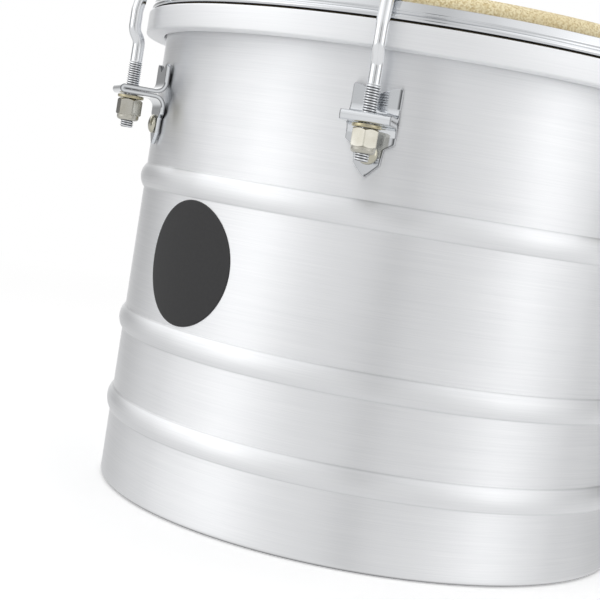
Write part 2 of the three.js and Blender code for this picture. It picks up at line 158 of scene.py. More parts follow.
@dataclass(frozen=True)
class Surface:
    """Vertices in millimetres, the faces between them and how much painted shade each vertex holds.
    """

    points: np.ndarray
    quads: np.ndarray
    triangles: np.ndarray = field(default_factory=lambda: np.zeros((0, 3), int))
    grime: np.ndarray | None = None

    def outward(self) -> "Surface":
        """Surface with its faces turned so that the volume they enclose is positive.

        The volume is a sixth of the sum over all triangles of a . (b x c).

        Returns:
            This surface, or a copy with every face the other way round.
        """
        quads = self.quads
        halves = np.concatenate([quads[:, [0, 1, 2]], quads[:, [0, 2, 3]], self.triangles])
        a, b, c = (self.points[halves[:, i]] for i in range(3))
        if np.einsum("ij,ij->i", a, np.cross(b, c)).sum() >= 0:
            return self
        return replace(self, quads=quads[:, ::-1], triangles=self.triangles[:, ::-1])

    def turned(self, angle: float) -> "Surface":
        """Surface turned about +Z by an angle in radians.

        Args:
            angle: Angle in radians.

        Returns:
            The turned copy.
        """
        cos, sin = math.cos(angle), math.sin(angle)
        turn = np.array([[cos, -sin, 0.0], [sin, cos, 0.0], [0.0, 0.0, 1.0]])
        return replace(self, points=self.points @ turn.T)

    def moved(self, x: float = 0.0, z: float = 0.0) -> "Surface":
        """Surface shifted outwards and upwards."""
        return replace(self, points=self.points + np.array([x, 0.0, z]))

    def laid(self) -> "Surface":
        """Surface tipped so that its own +Z points along +X."""
        x, y, z = self.points.T
        return replace(self, points=np.column_stack([z, y, -x]))

    def reach(self) -> np.ndarray:
        """Distance of each vertex from the drum's axis."""
        return np.hypot(self.points[:, 0], self.points[:, 1])


def line(start: Point, end: Point, steps: int) -> np.ndarray:
    """Points of a straight line, start + t (end - start) for t from 0 up to but not at 1."""
    t = np.linspace(0, 1, steps, endpoint=False)[:, None]
    return np.asarray(start) + t * (np.asarray(end) - np.asarray(start))


def chain(stops: list[tuple[float, float, int]], end: Point) -> np.ndarray:
    """Points of straight lines one after another.

    Args:
        stops: Reach and height of each corner, and the steps from it to the next one.
        end: Last corner, which is left out.

    Returns:
        Array of reach and height.
    """
    ends = [stop[:2] for stop in stops[1:]] + [end]
    return np.concatenate([line((x, z), far, steps) for (x, z, steps), far in zip(stops, ends)])


def arc(centre: Point, radius: float, start: float, end: float, steps: int) -> np.ndarray:
    """Points of a circular arc.

    A point is centre + radius (cos a, sin a), for an angle a from start to end, in degrees.

    Args:
        centre: Reach and height of the middle.
        radius: Radius of the arc.
        start: First angle in degrees.
        end: Last angle in degrees, which is included.
        steps: Number of spans.

    Returns:
        Array of steps + 1 points.
    """
    a = np.radians(np.linspace(start, end, steps + 1))
    return np.asarray(centre) + radius * np.column_stack([np.cos(a), np.sin(a)])


def bezier(controls: list[Point], steps: int) -> np.ndarray:
    """Points of a cubic curve, the last one left out.

    A point is the sum of each control times its Bernstein weight at t.

    Args:
        controls: Four points.
        steps: Number of spans.

    Returns:
        Array of as many points as steps.
    """
    t = np.linspace(0, 1, steps, endpoint=False)[:, None]
    weights = [(1 - t) ** 3, 3 * t * (1 - t) ** 2, 3 * t**2 * (1 - t), t**3]
    return sum(w * np.asarray(c) for w, c in zip(weights, controls))


def eased(value: np.ndarray) -> np.ndarray:
    """Smooth step of a share: 0 up to 0, 1 from 1, and 3 t^2 - 2 t^3 between them."""
    t = np.clip(value, 0, 1)
    return t * t * (3 - 2 * t)


def rounded(corners: list[Point], radii: tuple[float, ...], steps: int = 5) -> np.ndarray:
    """Closed outline with each corner rounded to its own radius.

    The tangent points lie radius / tan(half the corner's angle) from the corner, and the arc
    between them is the rational quadratic curve whose middle weight is the cosine of half the turn.

    Args:
        corners: N corners in order.
        radii: N radii.
        steps: Spans in each rounded corner.

    Returns:
        Array of N (steps + 1) points.
    """
    places = np.asarray(corners, float)
    back = np.roll(places, 1, axis=0) - places
    ahead = np.roll(places, -1, axis=0) - places
    back /= np.linalg.norm(back, axis=1, keepdims=True)
    ahead /= np.linalg.norm(ahead, axis=1, keepdims=True)
    half = np.arccos(np.clip((back * ahead).sum(1), -1, 1)) / 2
    reach = (np.asarray(radii) / np.tan(half))[:, None]
    start, end = places + back * reach, places + ahead * reach
    t = np.linspace(0, 1, steps + 1)[None, :, None]
    weight = np.sin(half)[:, None, None] * 2 * t * (1 - t)
    total = (1 - t) ** 2 + weight + t**2
    points = (1 - t) ** 2 * start[:, None] + weight * places[:, None] + t**2 * end[:, None]
    return (points / total).reshape(-1, 2)


def beside(path: np.ndarray) -> tuple[np.ndarray, np.ndarray]:
    """Unit directions along a path of reach and height, and to its right.

    Args:
        path: Points of reach and height.

    Returns:
        Two arrays of one direction a point.
    """
    along = np.gradient(path, axis=0)
    along /= np.linalg.norm(along, axis=1, keepdims=True)
    return along, np.column_stack([along[:, 1], -along[:, 0]])


def sheet_outline(middle: np.ndarray, thickness: float) -> np.ndarray:
    """Closed outline of a sheet of even thickness with half-round ends.

    Each side is the middle line shifted by half the thickness along its normal, and each end is a
    half circle of CAP_STEPS spans round the line's last point.

    Args:
        middle: N points of reach and height.
        thickness: The sheet's thickness.

    Returns:
        Right side, far end, left side backwards and near end.
    """
    along, normal = beside(middle)
    half = thickness / 2
    a = np.linspace(0, np.pi, CAP_STEPS + 1)[1:-1, None]
    far = middle[-1] + half * (np.cos(a) * normal[-1] + np.sin(a) * along[-1])
    near = middle[0] + half * (-np.cos(a) * normal[0] - np.sin(a) * along[0])
    return np.concatenate([middle + half * normal, far, (middle - half * normal)[::-1], near])


def grid_faces(rows: int, columns: int, rows_closed: bool, columns_closed: bool) -> np.ndarray:
    """Quads of a grid whose vertex (i, j) has the number i * columns + j.

    Args:
        rows: Number of rows.
        columns: Number of columns.
        rows_closed: Whether the last row joins the first.
        columns_closed: Whether the last column joins the first.

    Returns:
        Array of four vertex numbers a face.
    """
    i = np.arange(rows if rows_closed else rows - 1)[:, None]
    j = np.arange(columns if columns_closed else columns - 1)[None, :]
    below, right = (i + 1) % rows, (j + 1) % columns
    corners = [i * columns + j, i * columns + right, below * columns + right, below * columns + j]
    return np.stack(np.broadcast_arrays(*corners), -1).reshape(-1, 4)


def fan(ring: np.ndarray, hub: int) -> np.ndarray:
    """Triangles between a closed ring of vertex numbers and one hub vertex."""
    return np.column_stack([ring, np.roll(ring, -1), np.full(len(ring), hub)])


def angles(count: int) -> np.ndarray:
    """Even angles of a full turn in radians, the last one left out."""
    return np.linspace(0, FULL_TURN, count, endpoint=False)


def placed(x: np.ndarray, y: np.ndarray, z: np.ndarray) -> np.ndarray:
    """Vertices of a grid, row after row, from its X, Y and Z, each a grid, a row or a column."""
    return np.stack(np.broadcast_arrays(x, y, z), -1).reshape(-1, 3)


def capped(
    points: np.ndarray, sides: int, hubs: np.ndarray, grime: np.ndarray | None = None
) -> Surface:
    """Closed surface of rings of vertices, with a fan at either end.

    Args:
        points: Vertices of the rings, one ring after another.
        sides: Vertices in a ring.
        hubs: Middle of the first ring's fan and of the last one's.
        grime: Painted shade at each vertex of the rings, if any.

    Returns:
        Surface with its faces outwards.
    """
    first, count = np.arange(sides), len(points)
    caps = np.concatenate([fan(first[::-1], count), fan(first + count - sides, count + 1)])
    shading = None if grime is None else np.concatenate([grime, np.zeros(len(hubs))])
    faces = grid_faces(count // sides, sides, False, True)
    return Surface(np.concatenate([points, hubs]), faces, caps, shading).outward()


def revolved(outline: np.ndarray, segments: int) -> Surface:
    """Surface of revolution of a closed outline that keeps clear of the axis.

    Point (i, j) is (r_i cos a_j, r_i sin a_j, z_i).

    Args:
        outline: Points of reach and height.
        segments: Points round the axis.

    Returns:
        Surface with its faces outwards.
    """
    a = angles(segments)
    reach, height = outline[:, :1], outline[:, 1:]
    points = placed(reach * np.cos(a), reach * np.sin(a), height)
    return Surface(points, grid_faces(len(outline), segments, True, True)).outward()


def spindle(profile: np.ndarray, segments: int) -> Surface:
    """Surface of revolution of an open profile that starts and ends on the axis, closed by fans.

    Args:
        profile: Points of reach and height.
        segments: Points round the axis.

    Returns:
        Surface with its faces outwards.
    """
    a = angles(segments)
    reach, height = profile[1:-1, :1], profile[1:-1, 1:]
    points = placed(reach * np.cos(a), reach * np.sin(a), height)
    return capped(points, segments, np.array([[0, 0, profile[0, 1]], [0, 0, profile[-1, 1]]]))


def swept(
    path: np.ndarray, width: np.ndarray, depth: np.ndarray, power: np.ndarray, sides: int
) -> np.ndarray:
    """Rings of a rod along a path in the plane of reach and height, whose section may change.

    The section at s is a superellipse: the point at angle a lies at width(s) |cos a|^(2 / power(s))
    across the plane and depth(s) |sin a|^(2 / power(s)) along the path's normal, each with the sign
    of its cosine or sine.

    Args:
        path: N points of reach and height.
        width: N half widths across the plane.
        depth: N half widths along the normal.
        power: N exponents, 2 for an ellipse and more for a squarer section.
        sides: Points round the section.

    Returns:
        Vertices ring after ring, with X as reach and Z as height.
    """
    normal = beside(path)[1]
    a = angles(sides)[None, :]
    bend = 2 / power[:, None]
    across = width[:, None] * np.sign(np.cos(a)) * np.abs(np.cos(a)) ** bend
    out = depth[:, None] * np.sign(np.sin(a)) * np.abs(np.sin(a)) ** bend
    return placed(path[:, :1] + out * normal[:, :1], across, path[:, 1:] + out * normal[:, 1:])


# ---------------------------------------------------------------- shader groups and finishes


@dataclass
class Nodes:
    """Adds nodes to one tree and links them."""

    tree: bpy.types.NodeTree

    def add(self, kind: str, inputs: dict | None = None, **settings: object) -> bpy.types.Node:
        """Adds a node, sets its properties, and gives its sockets values or links.

        Args:
            kind: Node type, without its ShaderNode prefix.
            inputs: Socket name or number to value or output socket.
            settings: Properties of the node.

        Returns:
            The node.
        """
        node = self.tree.nodes.new("ShaderNode" + kind)
        for name, value in settings.items():
            setattr(node, name, value)
        for name, value in (inputs or {}).items():
            if isinstance(value, bpy.types.NodeSocket):
                self.tree.links.new(value, node.inputs[name])
            else:
                node.inputs[name].default_value = value
        return node

    def math(self, operation: str, *values: Level) -> bpy.types.NodeSocket:
        """Output of a Math node with the given inputs."""
        return self.add("Math", dict(enumerate(values)), operation=operation).outputs[0]

    def where(self) -> bpy.types.NodeSocket:
        """Place on the object, in metres."""
        return self.add("TexCoord").outputs["Object"]

    def stretched(self, across: Level, along: Level) -> bpy.types.NodeSocket:
        """Place on the object times one factor across +Z and another along it.

        Args:
            across: Factor of X and Y.
            along: Factor of Z.

        Returns:
            The stretched place.
        """
        place = self.add("SeparateXYZ", {0: self.where()}).outputs
        factors = (across, across, along)
        scaled = [self.math("MULTIPLY", place[i], factors[i]) for i in range(3)]
        return self.add("CombineXYZ", dict(enumerate(scaled))).outputs[0]

    def noise(
        self, where: bpy.types.NodeSocket, scale: Level, detail: float, roughness: float = 0.5
    ) -> bpy.types.NodeSocket:
        """Output of soft noise at a place."""
        inputs = {"Vector": where, "Scale": scale, "Detail": detail, "Roughness": roughness}
        return self.add("TexNoise", inputs).outputs[0]

    def ranged(
        self, value: Level, start: float, end: float, smooth: bool = False
    ) -> bpy.types.NodeSocket:
        """Output that goes from 0 at the start to 1 at the end, straight or as a smooth step.

        Args:
            value: The level.
            start: Where the output is 0.
            end: Where it is 1.
            smooth: Whether it is a smooth step.

        Returns:
            A level from 0 to 1.
        """
        inputs = {"Value": value, "From Min": start, "From Max": end}
        kind = "SMOOTHSTEP" if smooth else "LINEAR"
        return self.add("MapRange", inputs, interpolation_type=kind).outputs[0]

    def mixed(self, share: Level, first: object, second: object) -> bpy.types.NodeSocket:
        """Output of a mix of two colours, each three numbers or a socket.

        Args:
            share: How much of the second.
            first: Three numbers or a socket.
            second: Three numbers or a socket.

        Returns:
            The mixed colour.
        """
        inputs = {"Factor": share, "A": first, "B": second}
        for name in ("A", "B"):
            if isinstance(inputs[name], tuple):
                inputs[name] = (*inputs[name], 1)
        return self.add("Mix", inputs, data_type="RGBA").outputs["Result"]

    def blended(self, share: Level, first: Level, second: Level) -> bpy.types.NodeSocket:
        """Output of a mix of two levels."""
        inputs = {"Factor": share, "A": first, "B": second}
        return self.add("Mix", inputs, data_type="FLOAT").outputs["Result"]

    def ramp(self, share: Level, stops: Stops) -> bpy.types.NodeSocket:
        """Output of a smooth grey ramp.

        Args:
            share: Place on the ramp, from 0 to 1.
            stops: Place and level of each stop.

        Returns:
            The ramp's colour.
        """
        node = self.add("ValToRGB", {"Fac": share})
        node.color_ramp.interpolation = "EASE"
        elements = node.color_ramp.elements
        while len(elements) < len(stops):
            elements.new(0.5)
        for element, (place, level) in zip(elements, stops):
            element.position = place
            element.color = (level, level, level, 1)
        return node.outputs["Color"]


class Effect(Enum):
    """Shader groups that the finishes share, each with its inputs and their usual values."""

    TURNED_LINES = {"Density": 900.0, "Length": 24.0}
    SMUDGES = {"Scale": 30.0, "Low": 0.2, "High": 0.35}
    SPECKLE = {"Scale": 700.0, "Spread": 60.0}
    FIBRE = {"Across": 1600.0, "Along": 40.0}


@dataclass
class EffectLibrary:
    """Builds each shader group once and hands it out."""

    built: dict[Effect, bpy.types.NodeTree] = field(default_factory=dict)

    def group(self, effect: Effect) -> bpy.types.NodeTree:
        """Tree of an effect, built at its first use.

        Args:
            effect: The wanted effect.

        Returns:
            The group's tree, whose inputs and outputs are all plain numbers.
        """
        if effect not in self.built:
            make = {
                Effect.TURNED_LINES: self.turned_lines,
                Effect.SMUDGES: self.smudges,
                Effect.SPECKLE: self.speckle,
                Effect.FIBRE: self.fibre,
            }[effect]
            tree = bpy.data.node_groups.new(effect.name.lower(), "ShaderNodeTree")
            add = tree.interface.new_socket
            for name, value in effect.value.items():
                socket = add(name, in_out="INPUT", socket_type="NodeSocketFloat")
                socket.default_value = value
            entry = tree.nodes.new("NodeGroupInput")
            outputs = make(Nodes(tree), entry.outputs)
            for name in outputs:
                add(name, in_out="OUTPUT", socket_type="NodeSocketFloat")
            leave = tree.nodes.new("NodeGroupOutput")
            for name, socket in outputs.items():
                tree.links.new(socket, leave.inputs[name])
            self.built[effect] = tree
        return self.built[effect]

    def filled(self, nodes: Nodes, effect: Effect, inputs: dict[str, float]) -> Sockets:
        """Puts an effect into a material's tree.

        Args:
            nodes: The material's nodes.
            effect: The wanted effect.
            inputs: Values that differ from the usual ones.

        Returns:
            The effect's outputs by name.
        """
        node = nodes.add("Group", node_tree=self.group(effect))
        for name, value in inputs.items():
            node.inputs[name].default_value = value
        return {socket.name: socket for socket in node.outputs}

    @staticmethod
    def turned_lines(nodes: Nodes, entry: Sockets) -> Sockets:
        """Fine lines round +Z: noise that changes fast with height and slowly round the axis.

        Args:
            nodes: The group's nodes.
            entry: The group's inputs by name.

        Returns:
            Height for a bump and a mask from 0 to 1.
        """
        place = nodes.stretched(entry["Length"], entry["Density"])
        fine = nodes.noise(place, 1.0, 4.0, roughness=0.7)
        wide = nodes.add("VectorMath", {0: place, 1: (0.6, 0.6, 0.13)}, operation="MULTIPLY")
        bands = nodes.noise(wide.outputs[0], 1.0, 3.0)
        height = nodes.math("MULTIPLY_ADD", bands, 0.2, fine)
        return {"Height": height, "Mask": nodes.ranged(height, 0.4, 0.8)}

    @staticmethod
    def smudges(nodes: Nodes, entry: Sockets) -> Sockets:
        """Soft patches where a surface was handled: noise between two levels of roughness.

        Args:
            nodes: The group's nodes.
            entry: The group's inputs by name.

        Returns:
            Roughness between Low and High and a mask from 0 to 1.
        """
        mask = nodes.ranged(nodes.noise(nodes.where(), entry["Scale"], 5.0), 0.35, 0.65)
        levels = {"Value": mask, "To Min": entry["Low"], "To Max": entry["High"]}
        return {"Roughness": nodes.add("MapRange", levels).outputs[0], "Mask": mask}

    @staticmethod
    def speckle(nodes: Nodes, entry: Sockets) -> Sockets:
        """Follicles and clouds of a hide: cells for the dots, soft noise for grain and clouds.

        Args:
            nodes: The group's nodes.
            entry: The group's inputs by name.

        Returns:
            Dots, Cloud and Grain, and Height for a bump.
        """
        where = nodes.where()
        cells = nodes.add("TexVoronoi", {"Vector": where, "Scale": entry["Scale"]})
        dots = nodes.ranged(cells.outputs["Distance"], 0.42, 0.1)
        grain = nodes.noise(where, entry["Scale"], 2.0)
        marks = nodes.math("MULTIPLY", dots, nodes.ranged(grain, 0.42, 0.6))
        return {
            "Dots": marks,
            "Cloud": nodes.noise(where, entry["Spread"], 6.0),
            "Grain": grain,
            "Height": nodes.math("SUBTRACT", grain, marks),
        }

    @staticmethod
    def fibre(nodes: Nodes, entry: Sockets) -> Sockets:
        """Fibres along +Z: noise stretched along the cane."""
        place = nodes.stretched(entry["Across"], entry["Along"])
        return {"Streaks": nodes.noise(place, 1.0, 4.0)}


EFFECTS = EffectLibrary()


class Paint(Nodes):
    """A material in the making: its nodes, and the Principled shader that they lead to."""

    def __init__(self, name: str, constants: dict[str, float]) -> None:
        """Starts a material.

        Args:
            name: The material's name.
            constants: Values of the shader's own sockets.
        """
        self.material = bpy.data.materials.new(name)
        self.material.use_nodes = True
        super().__init__(self.material.node_tree)
        self.shader = self.tree.nodes["Principled BSDF"]
        for socket, value in constants.items():
            self.shader.inputs[socket].default_value = value

    def lead(self, socket: str, output: bpy.types.NodeSocket) -> None:
        """Links an output to one of the shader's sockets."""
        self.tree.links.new(output, self.shader.inputs[socket])

    def bump(self, height: bpy.types.NodeSocket, strength: float, depth: float) -> None:
        """Bends the shader's normal by a height, over a depth in millimetres."""
        inputs = {"Height": height, "Strength": strength, "Distance": depth * MM}
        self.lead("Normal", self.add("Bump", inputs).outputs[0])


class Lines(Enum):
    """How the tool marks run on a metal."""

    ROUND = "round the axis"
    NONE = "none"


@dataclass(frozen=True)
class MetalFinish:
    """Bare or plated metal with handling marks and, where it was turned, fine lines."""

    name: str
    colour: Colour
    shade: Colour
    roughness: tuple[float, float]
    smudge_scale: float = 30.0
    lines: Lines = Lines.NONE
    line_density: float = 900.0
    mark_depth: float = 0.02
    anisotropy: float = 0.0
    line_strength: float = 0.5
    grain_scale: float = 900.0
    grain_strength: float = 0.15
    # Colour of the painted shade, laid on where the vertices hold painted shade.
    painted_dark: Colour = (0.035, 0.035, 0.04)
    slot: str = ""

    def material(self) -> bpy.types.Material:
        """Builds the finish.

        The colour drifts between two tones with the turned lines or the smudges, the lines or a
        fine grain go into the bump, and painted shade darkens the metal where the vertices hold it.

        Returns:
            The material.
        """
        constants = {"Metallic": 1.0}
        if self.lines is Lines.ROUND:
            constants |= {"Anisotropic": self.anisotropy, "Anisotropic Rotation": 0.25}
        paint = Paint(self.name, constants)
        low, high = self.roughness
        handled = {"Scale": self.smudge_scale, "Low": low, "High": high}
        smudges = EFFECTS.filled(paint, Effect.SMUDGES, handled)
        paint.lead("Roughness", smudges["Roughness"])
        if self.lines is Lines.ROUND:
            lines = EFFECTS.filled(paint, Effect.TURNED_LINES, {"Density": self.line_density})
            drift = lines["Mask"]
            paint.bump(lines["Height"], self.line_strength, self.mark_depth)
            tangent = paint.add("Tangent", direction_type="RADIAL", axis="Z")
            paint.lead("Tangent", tangent.outputs[0])
        else:
            drift = smudges["Mask"]
            grain = paint.noise(paint.where(), self.grain_scale, 3.0)
            paint.bump(grain, self.grain_strength, self.mark_depth)
        shading = paint.add("Attribute", attribute_name=PAINTED_SHADE).outputs["Fac"]
        unshaded = paint.mixed(drift, self.colour, self.shade)
        paint.lead("Base Color", paint.mixed(shading, unshaded, self.painted_dark))
        return paint.material


@dataclass(frozen=True)
class HideFinish:
    """Goatskin: warm tan with paler clouds and dark follicle dots."""

    name: str = "goatskin"
    pale: Colour = (0.90, 0.81, 0.55)
    deep: Colour = (0.66, 0.53, 0.28)
    tan: Colour = (0.70, 0.55, 0.29)
    dot: Colour = (0.34, 0.23, 0.10)
    roughness: float = 0.6
    sheen: float = 0.1
    follicle_scale: float = 1100.0
    cloud_scale: float = 26.0
    grain_stops: Stops = ((0.36, 0.0), (0.66, 1.0))
    cloud_stops: Stops = ((0.42, 0.0), (0.75, 0.55))
    dot_strength: float = 0.55
    bump_strength: float = 0.35
    bump_depth: float = 0.15

    def material(self) -> bpy.types.Material:
        """Builds the hide: grain mixes pale and deep, wide faint clouds tan it, dots dent it.

        Returns:
            The material.
        """
        paint = Paint(self.name, {"Roughness": self.roughness, "Sheen Weight": self.sheen})
        scales = {"Scale": self.follicle_scale, "Spread": self.cloud_scale}
        hide = EFFECTS.filled(paint, Effect.SPECKLE, scales)
        grain = paint.ramp(hide["Grain"], self.grain_stops)
        cloud = paint.ramp(hide["Cloud"], self.cloud_stops)
        tanned = paint.mixed(cloud, paint.mixed(grain, self.pale, self.deep), self.tan)
        dots = paint.math("MULTIPLY", hide["Dots"], self.dot_strength)
        paint.lead("Base Color", paint.mixed(dots, tanned, self.dot))
        paint.bump(hide["Height"], self.bump_strength, self.bump_depth)
        return paint.material


@dataclass(frozen=True)
class CaneFinish:
    """Bamboo: honey-coloured fibres along the cane, darker in the streaks."""

    name: str = "bamboo"
    light: Colour = (0.62, 0.42, 0.18)
    dark: Colour = (0.34, 0.19, 0.07)
    roughness: float = 0.42
    coat: float = 0.15
    coat_roughness: float = 0.3
    streak_stops: Stops = ((0.42, 0.0), (0.7, 1.0))
    bump_strength: float = 0.3
    bump_depth: float = 0.08

    def material(self) -> bpy.types.Material:
        """Builds the cane from stretched streaks.

        Returns:
            The material.
        """
        varnish = {"Coat Weight": self.coat, "Coat Roughness": self.coat_roughness}
        paint = Paint(self.name, {"Roughness": self.roughness, **varnish})
        streaks = EFFECTS.filled(paint, Effect.FIBRE, {})["Streaks"]
        tone = paint.ramp(streaks, self.streak_stops)
        paint.lead("Base Color", paint.mixed(tone, self.light, self.dark))
        paint.bump(streaks, self.bump_strength, self.bump_depth)
        return paint.material


@dataclass(frozen=True)
class DullFinish:
    """Vinyl or cord: a colour with fine grain in tone and bump."""

    name: str
    colour: Colour
    shade: Colour
    roughness: float
    grain_scale: float = 1500.0
    grain_depth: float = 0.05
    grain_stops: Stops = ((0.35, 0.0), (0.65, 1.0))
    bump_strength: float = 0.3

    def material(self) -> bpy.types.Material:
        """Builds the finish from one fine noise.

        Returns:
            The material.
        """
        paint = Paint(self.name, {"Roughness": self.roughness})
        grain = paint.noise(paint.where(), self.grain_scale, 4.0)
        tone = paint.ramp(grain, self.grain_stops)
        paint.lead("Base Color", paint.mixed(tone, self.colour, self.shade))
        paint.bump(grain, self.bump_strength, self.grain_depth)
        return paint.material


BRUSHED_ALUMINIUM = MetalFinish(
    "brushed_aluminium", (0.945, 0.953, 0.967), (0.875, 0.886, 0.903), (0.40, 0.47), 9.0,
    Lines.ROUND, 2600.0, 0.03, 0.93,
)
SATIN_ALUMINIUM = MetalFinish(
    "satin_aluminium", (0.945, 0.952, 0.965), (0.90, 0.91, 0.925), (0.57, 0.63), 14.0,
    Lines.ROUND, 2600.0, 0.012, 0.52,
)
STEEL_WIRE = MetalFinish("steel_wire", (0.55, 0.56, 0.58), (0.45, 0.46, 0.48), (0.25, 0.4))
CHROME = MetalFinish("chrome", (0.78, 0.80, 0.82), (0.73, 0.75, 0.775), (0.06, 0.12), 25.0)
HOOP_CHROME = MetalFinish(
    "hoop_chrome", (0.73, 0.745, 0.765), (0.67, 0.685, 0.705), (0.07, 0.13), 18.0, slot="chrome"
)
BRIGHT_ZINC = MetalFinish(
    "bright_zinc", (0.86, 0.87, 0.885), (0.79, 0.805, 0.825), (0.07, 0.13), 60.0
)
YELLOW_ZINC = MetalFinish("yellow_zinc", (0.58, 0.52, 0.33), (0.49, 0.45, 0.33), (0.2, 0.3), 120.0)
PALE_GOLD = MetalFinish("pale_gold_zinc", (0.57, 0.56, 0.51), (0.51, 0.49, 0.42), (0.18, 0.3), 90.0)
NICKEL = MetalFinish("nickel", (0.60, 0.58, 0.50), (0.53, 0.51, 0.42), (0.12, 0.2), 80.0)
GOATSKIN = HideFinish()
BAMBOO = CaneFinish()
WAXED_CORD = DullFinish("waxed_cord", (0.74, 0.67, 0.50), (0.60, 0.52, 0.36), 0.7)
BLACK_VINYL = DullFinish(
    "black_vinyl", (0.009, 0.009, 0.010), (0.012, 0.012, 0.013), 0.5, 900.0, 0.01
)

Finish = MetalFinish | HideFinish | CaneFinish | DullFinish


def slot_of(finish: Finish) -> str:
    """Name of the record's slot that a finish belongs to: its own name unless it says another."""
    return getattr(finish, "slot", "") or finish.name


@dataclass
class Workshop:
    """Turns surfaces into objects with their finish and body."""

    materials: dict[str, bpy.types.Material] = field(default_factory=dict)

    def material(self, finish: Finish) -> bpy.types.Material:
        """Material of a finish, built at its first use.

        Args:
            finish: The wanted finish.

        Returns:
            Its material.
        """
        if finish.name not in self.materials:
            self.materials[finish.name] = finish.material()
        return self.materials[finish.name]

    def mesh(self, name: str, surface: Surface, sharp: float = SHARP_EDGE) -> bpy.types.Object:
        """Object at the origin with a surface's mesh, smooth except over its sharper edges.

        Args:
            name: Name of the object and its mesh.
            surface: Vertices in millimetres and faces.
            sharp: Angle in degrees over which an edge stays sharp.

        Returns:
            The new object, linked to the scene.
        """
        mesh = bpy.data.meshes.new(name)
        faces = surface.quads.tolist() + surface.triangles.tolist()
        mesh.from_pydata((surface.points * MM).tolist(), [], faces)
        mesh.polygons.foreach_set("use_smooth", np.ones(len(mesh.polygons), bool))
        mesh.set_sharp_from_angle(angle=math.radians(sharp))
        # Painted shade goes on the mesh as a vertex attribute that the metal finishes read.
        if surface.grime is not None:
            shading = mesh.attributes.new(PAINTED_SHADE, "FLOAT", "POINT")
            shading.data.foreach_set("value", surface.grime.astype(np.float32))
        mesh.update()
        piece = bpy.data.objects.new(name, mesh)
        bpy.context.scene.collection.objects.link(piece)
        return piece

    def dress(self, piece: bpy.types.Object, finish: Finish, body: str, node: str = "") -> None:
        """Gives an object its finish and the body it rides on, and hides the solid that it stands
        for.

        Args:
            piece: The object.
            finish: Its finish.
            body: The body it rides on.
            node: The solid that it replaces, if any.
        """
        piece.data.materials.clear()
        piece.data.materials.append(self.material(finish))
        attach(piece, body)
        if node:
            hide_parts(node)
        if slot_of(finish) in SLOTS:
            slot_of(finish)
        LOG.info("%s: %d faces on %s", piece.name, len(piece.data.polygons), body)

    def fine(
        self,
        node: str,
        surface: Surface,
        finish: Finish,
        body: str = "drum",
        sharp: float = SHARP_EDGE,
    ) -> None:
        """Makes and dresses the fine piece that stands for one of the solids.

        Args:
            node: Name of the solid.
            surface: The piece's surface.
            finish: Its finish.
            body: The body it rides on.
            sharp: Angle in degrees over which an edge stays sharp.
        """
        self.dress(self.mesh(f"{node}_fine", surface, sharp), finish, body, node)

    @staticmethod
    def applied(piece: bpy.types.Object) -> None:
        """Replaces an object's mesh with what its modifiers make of it.

        Args:
            piece: The object, which loses its modifiers.
        """
        graph = bpy.context.evaluated_depsgraph_get()
        made = bpy.data.meshes.new_from_object(piece.evaluated_get(graph))
        old = piece.data
        piece.modifiers.clear()
        piece.data = made
        made.name = old.name
        bpy.data.meshes.remove(old)


# ---------------------------------------------------------------- the drum


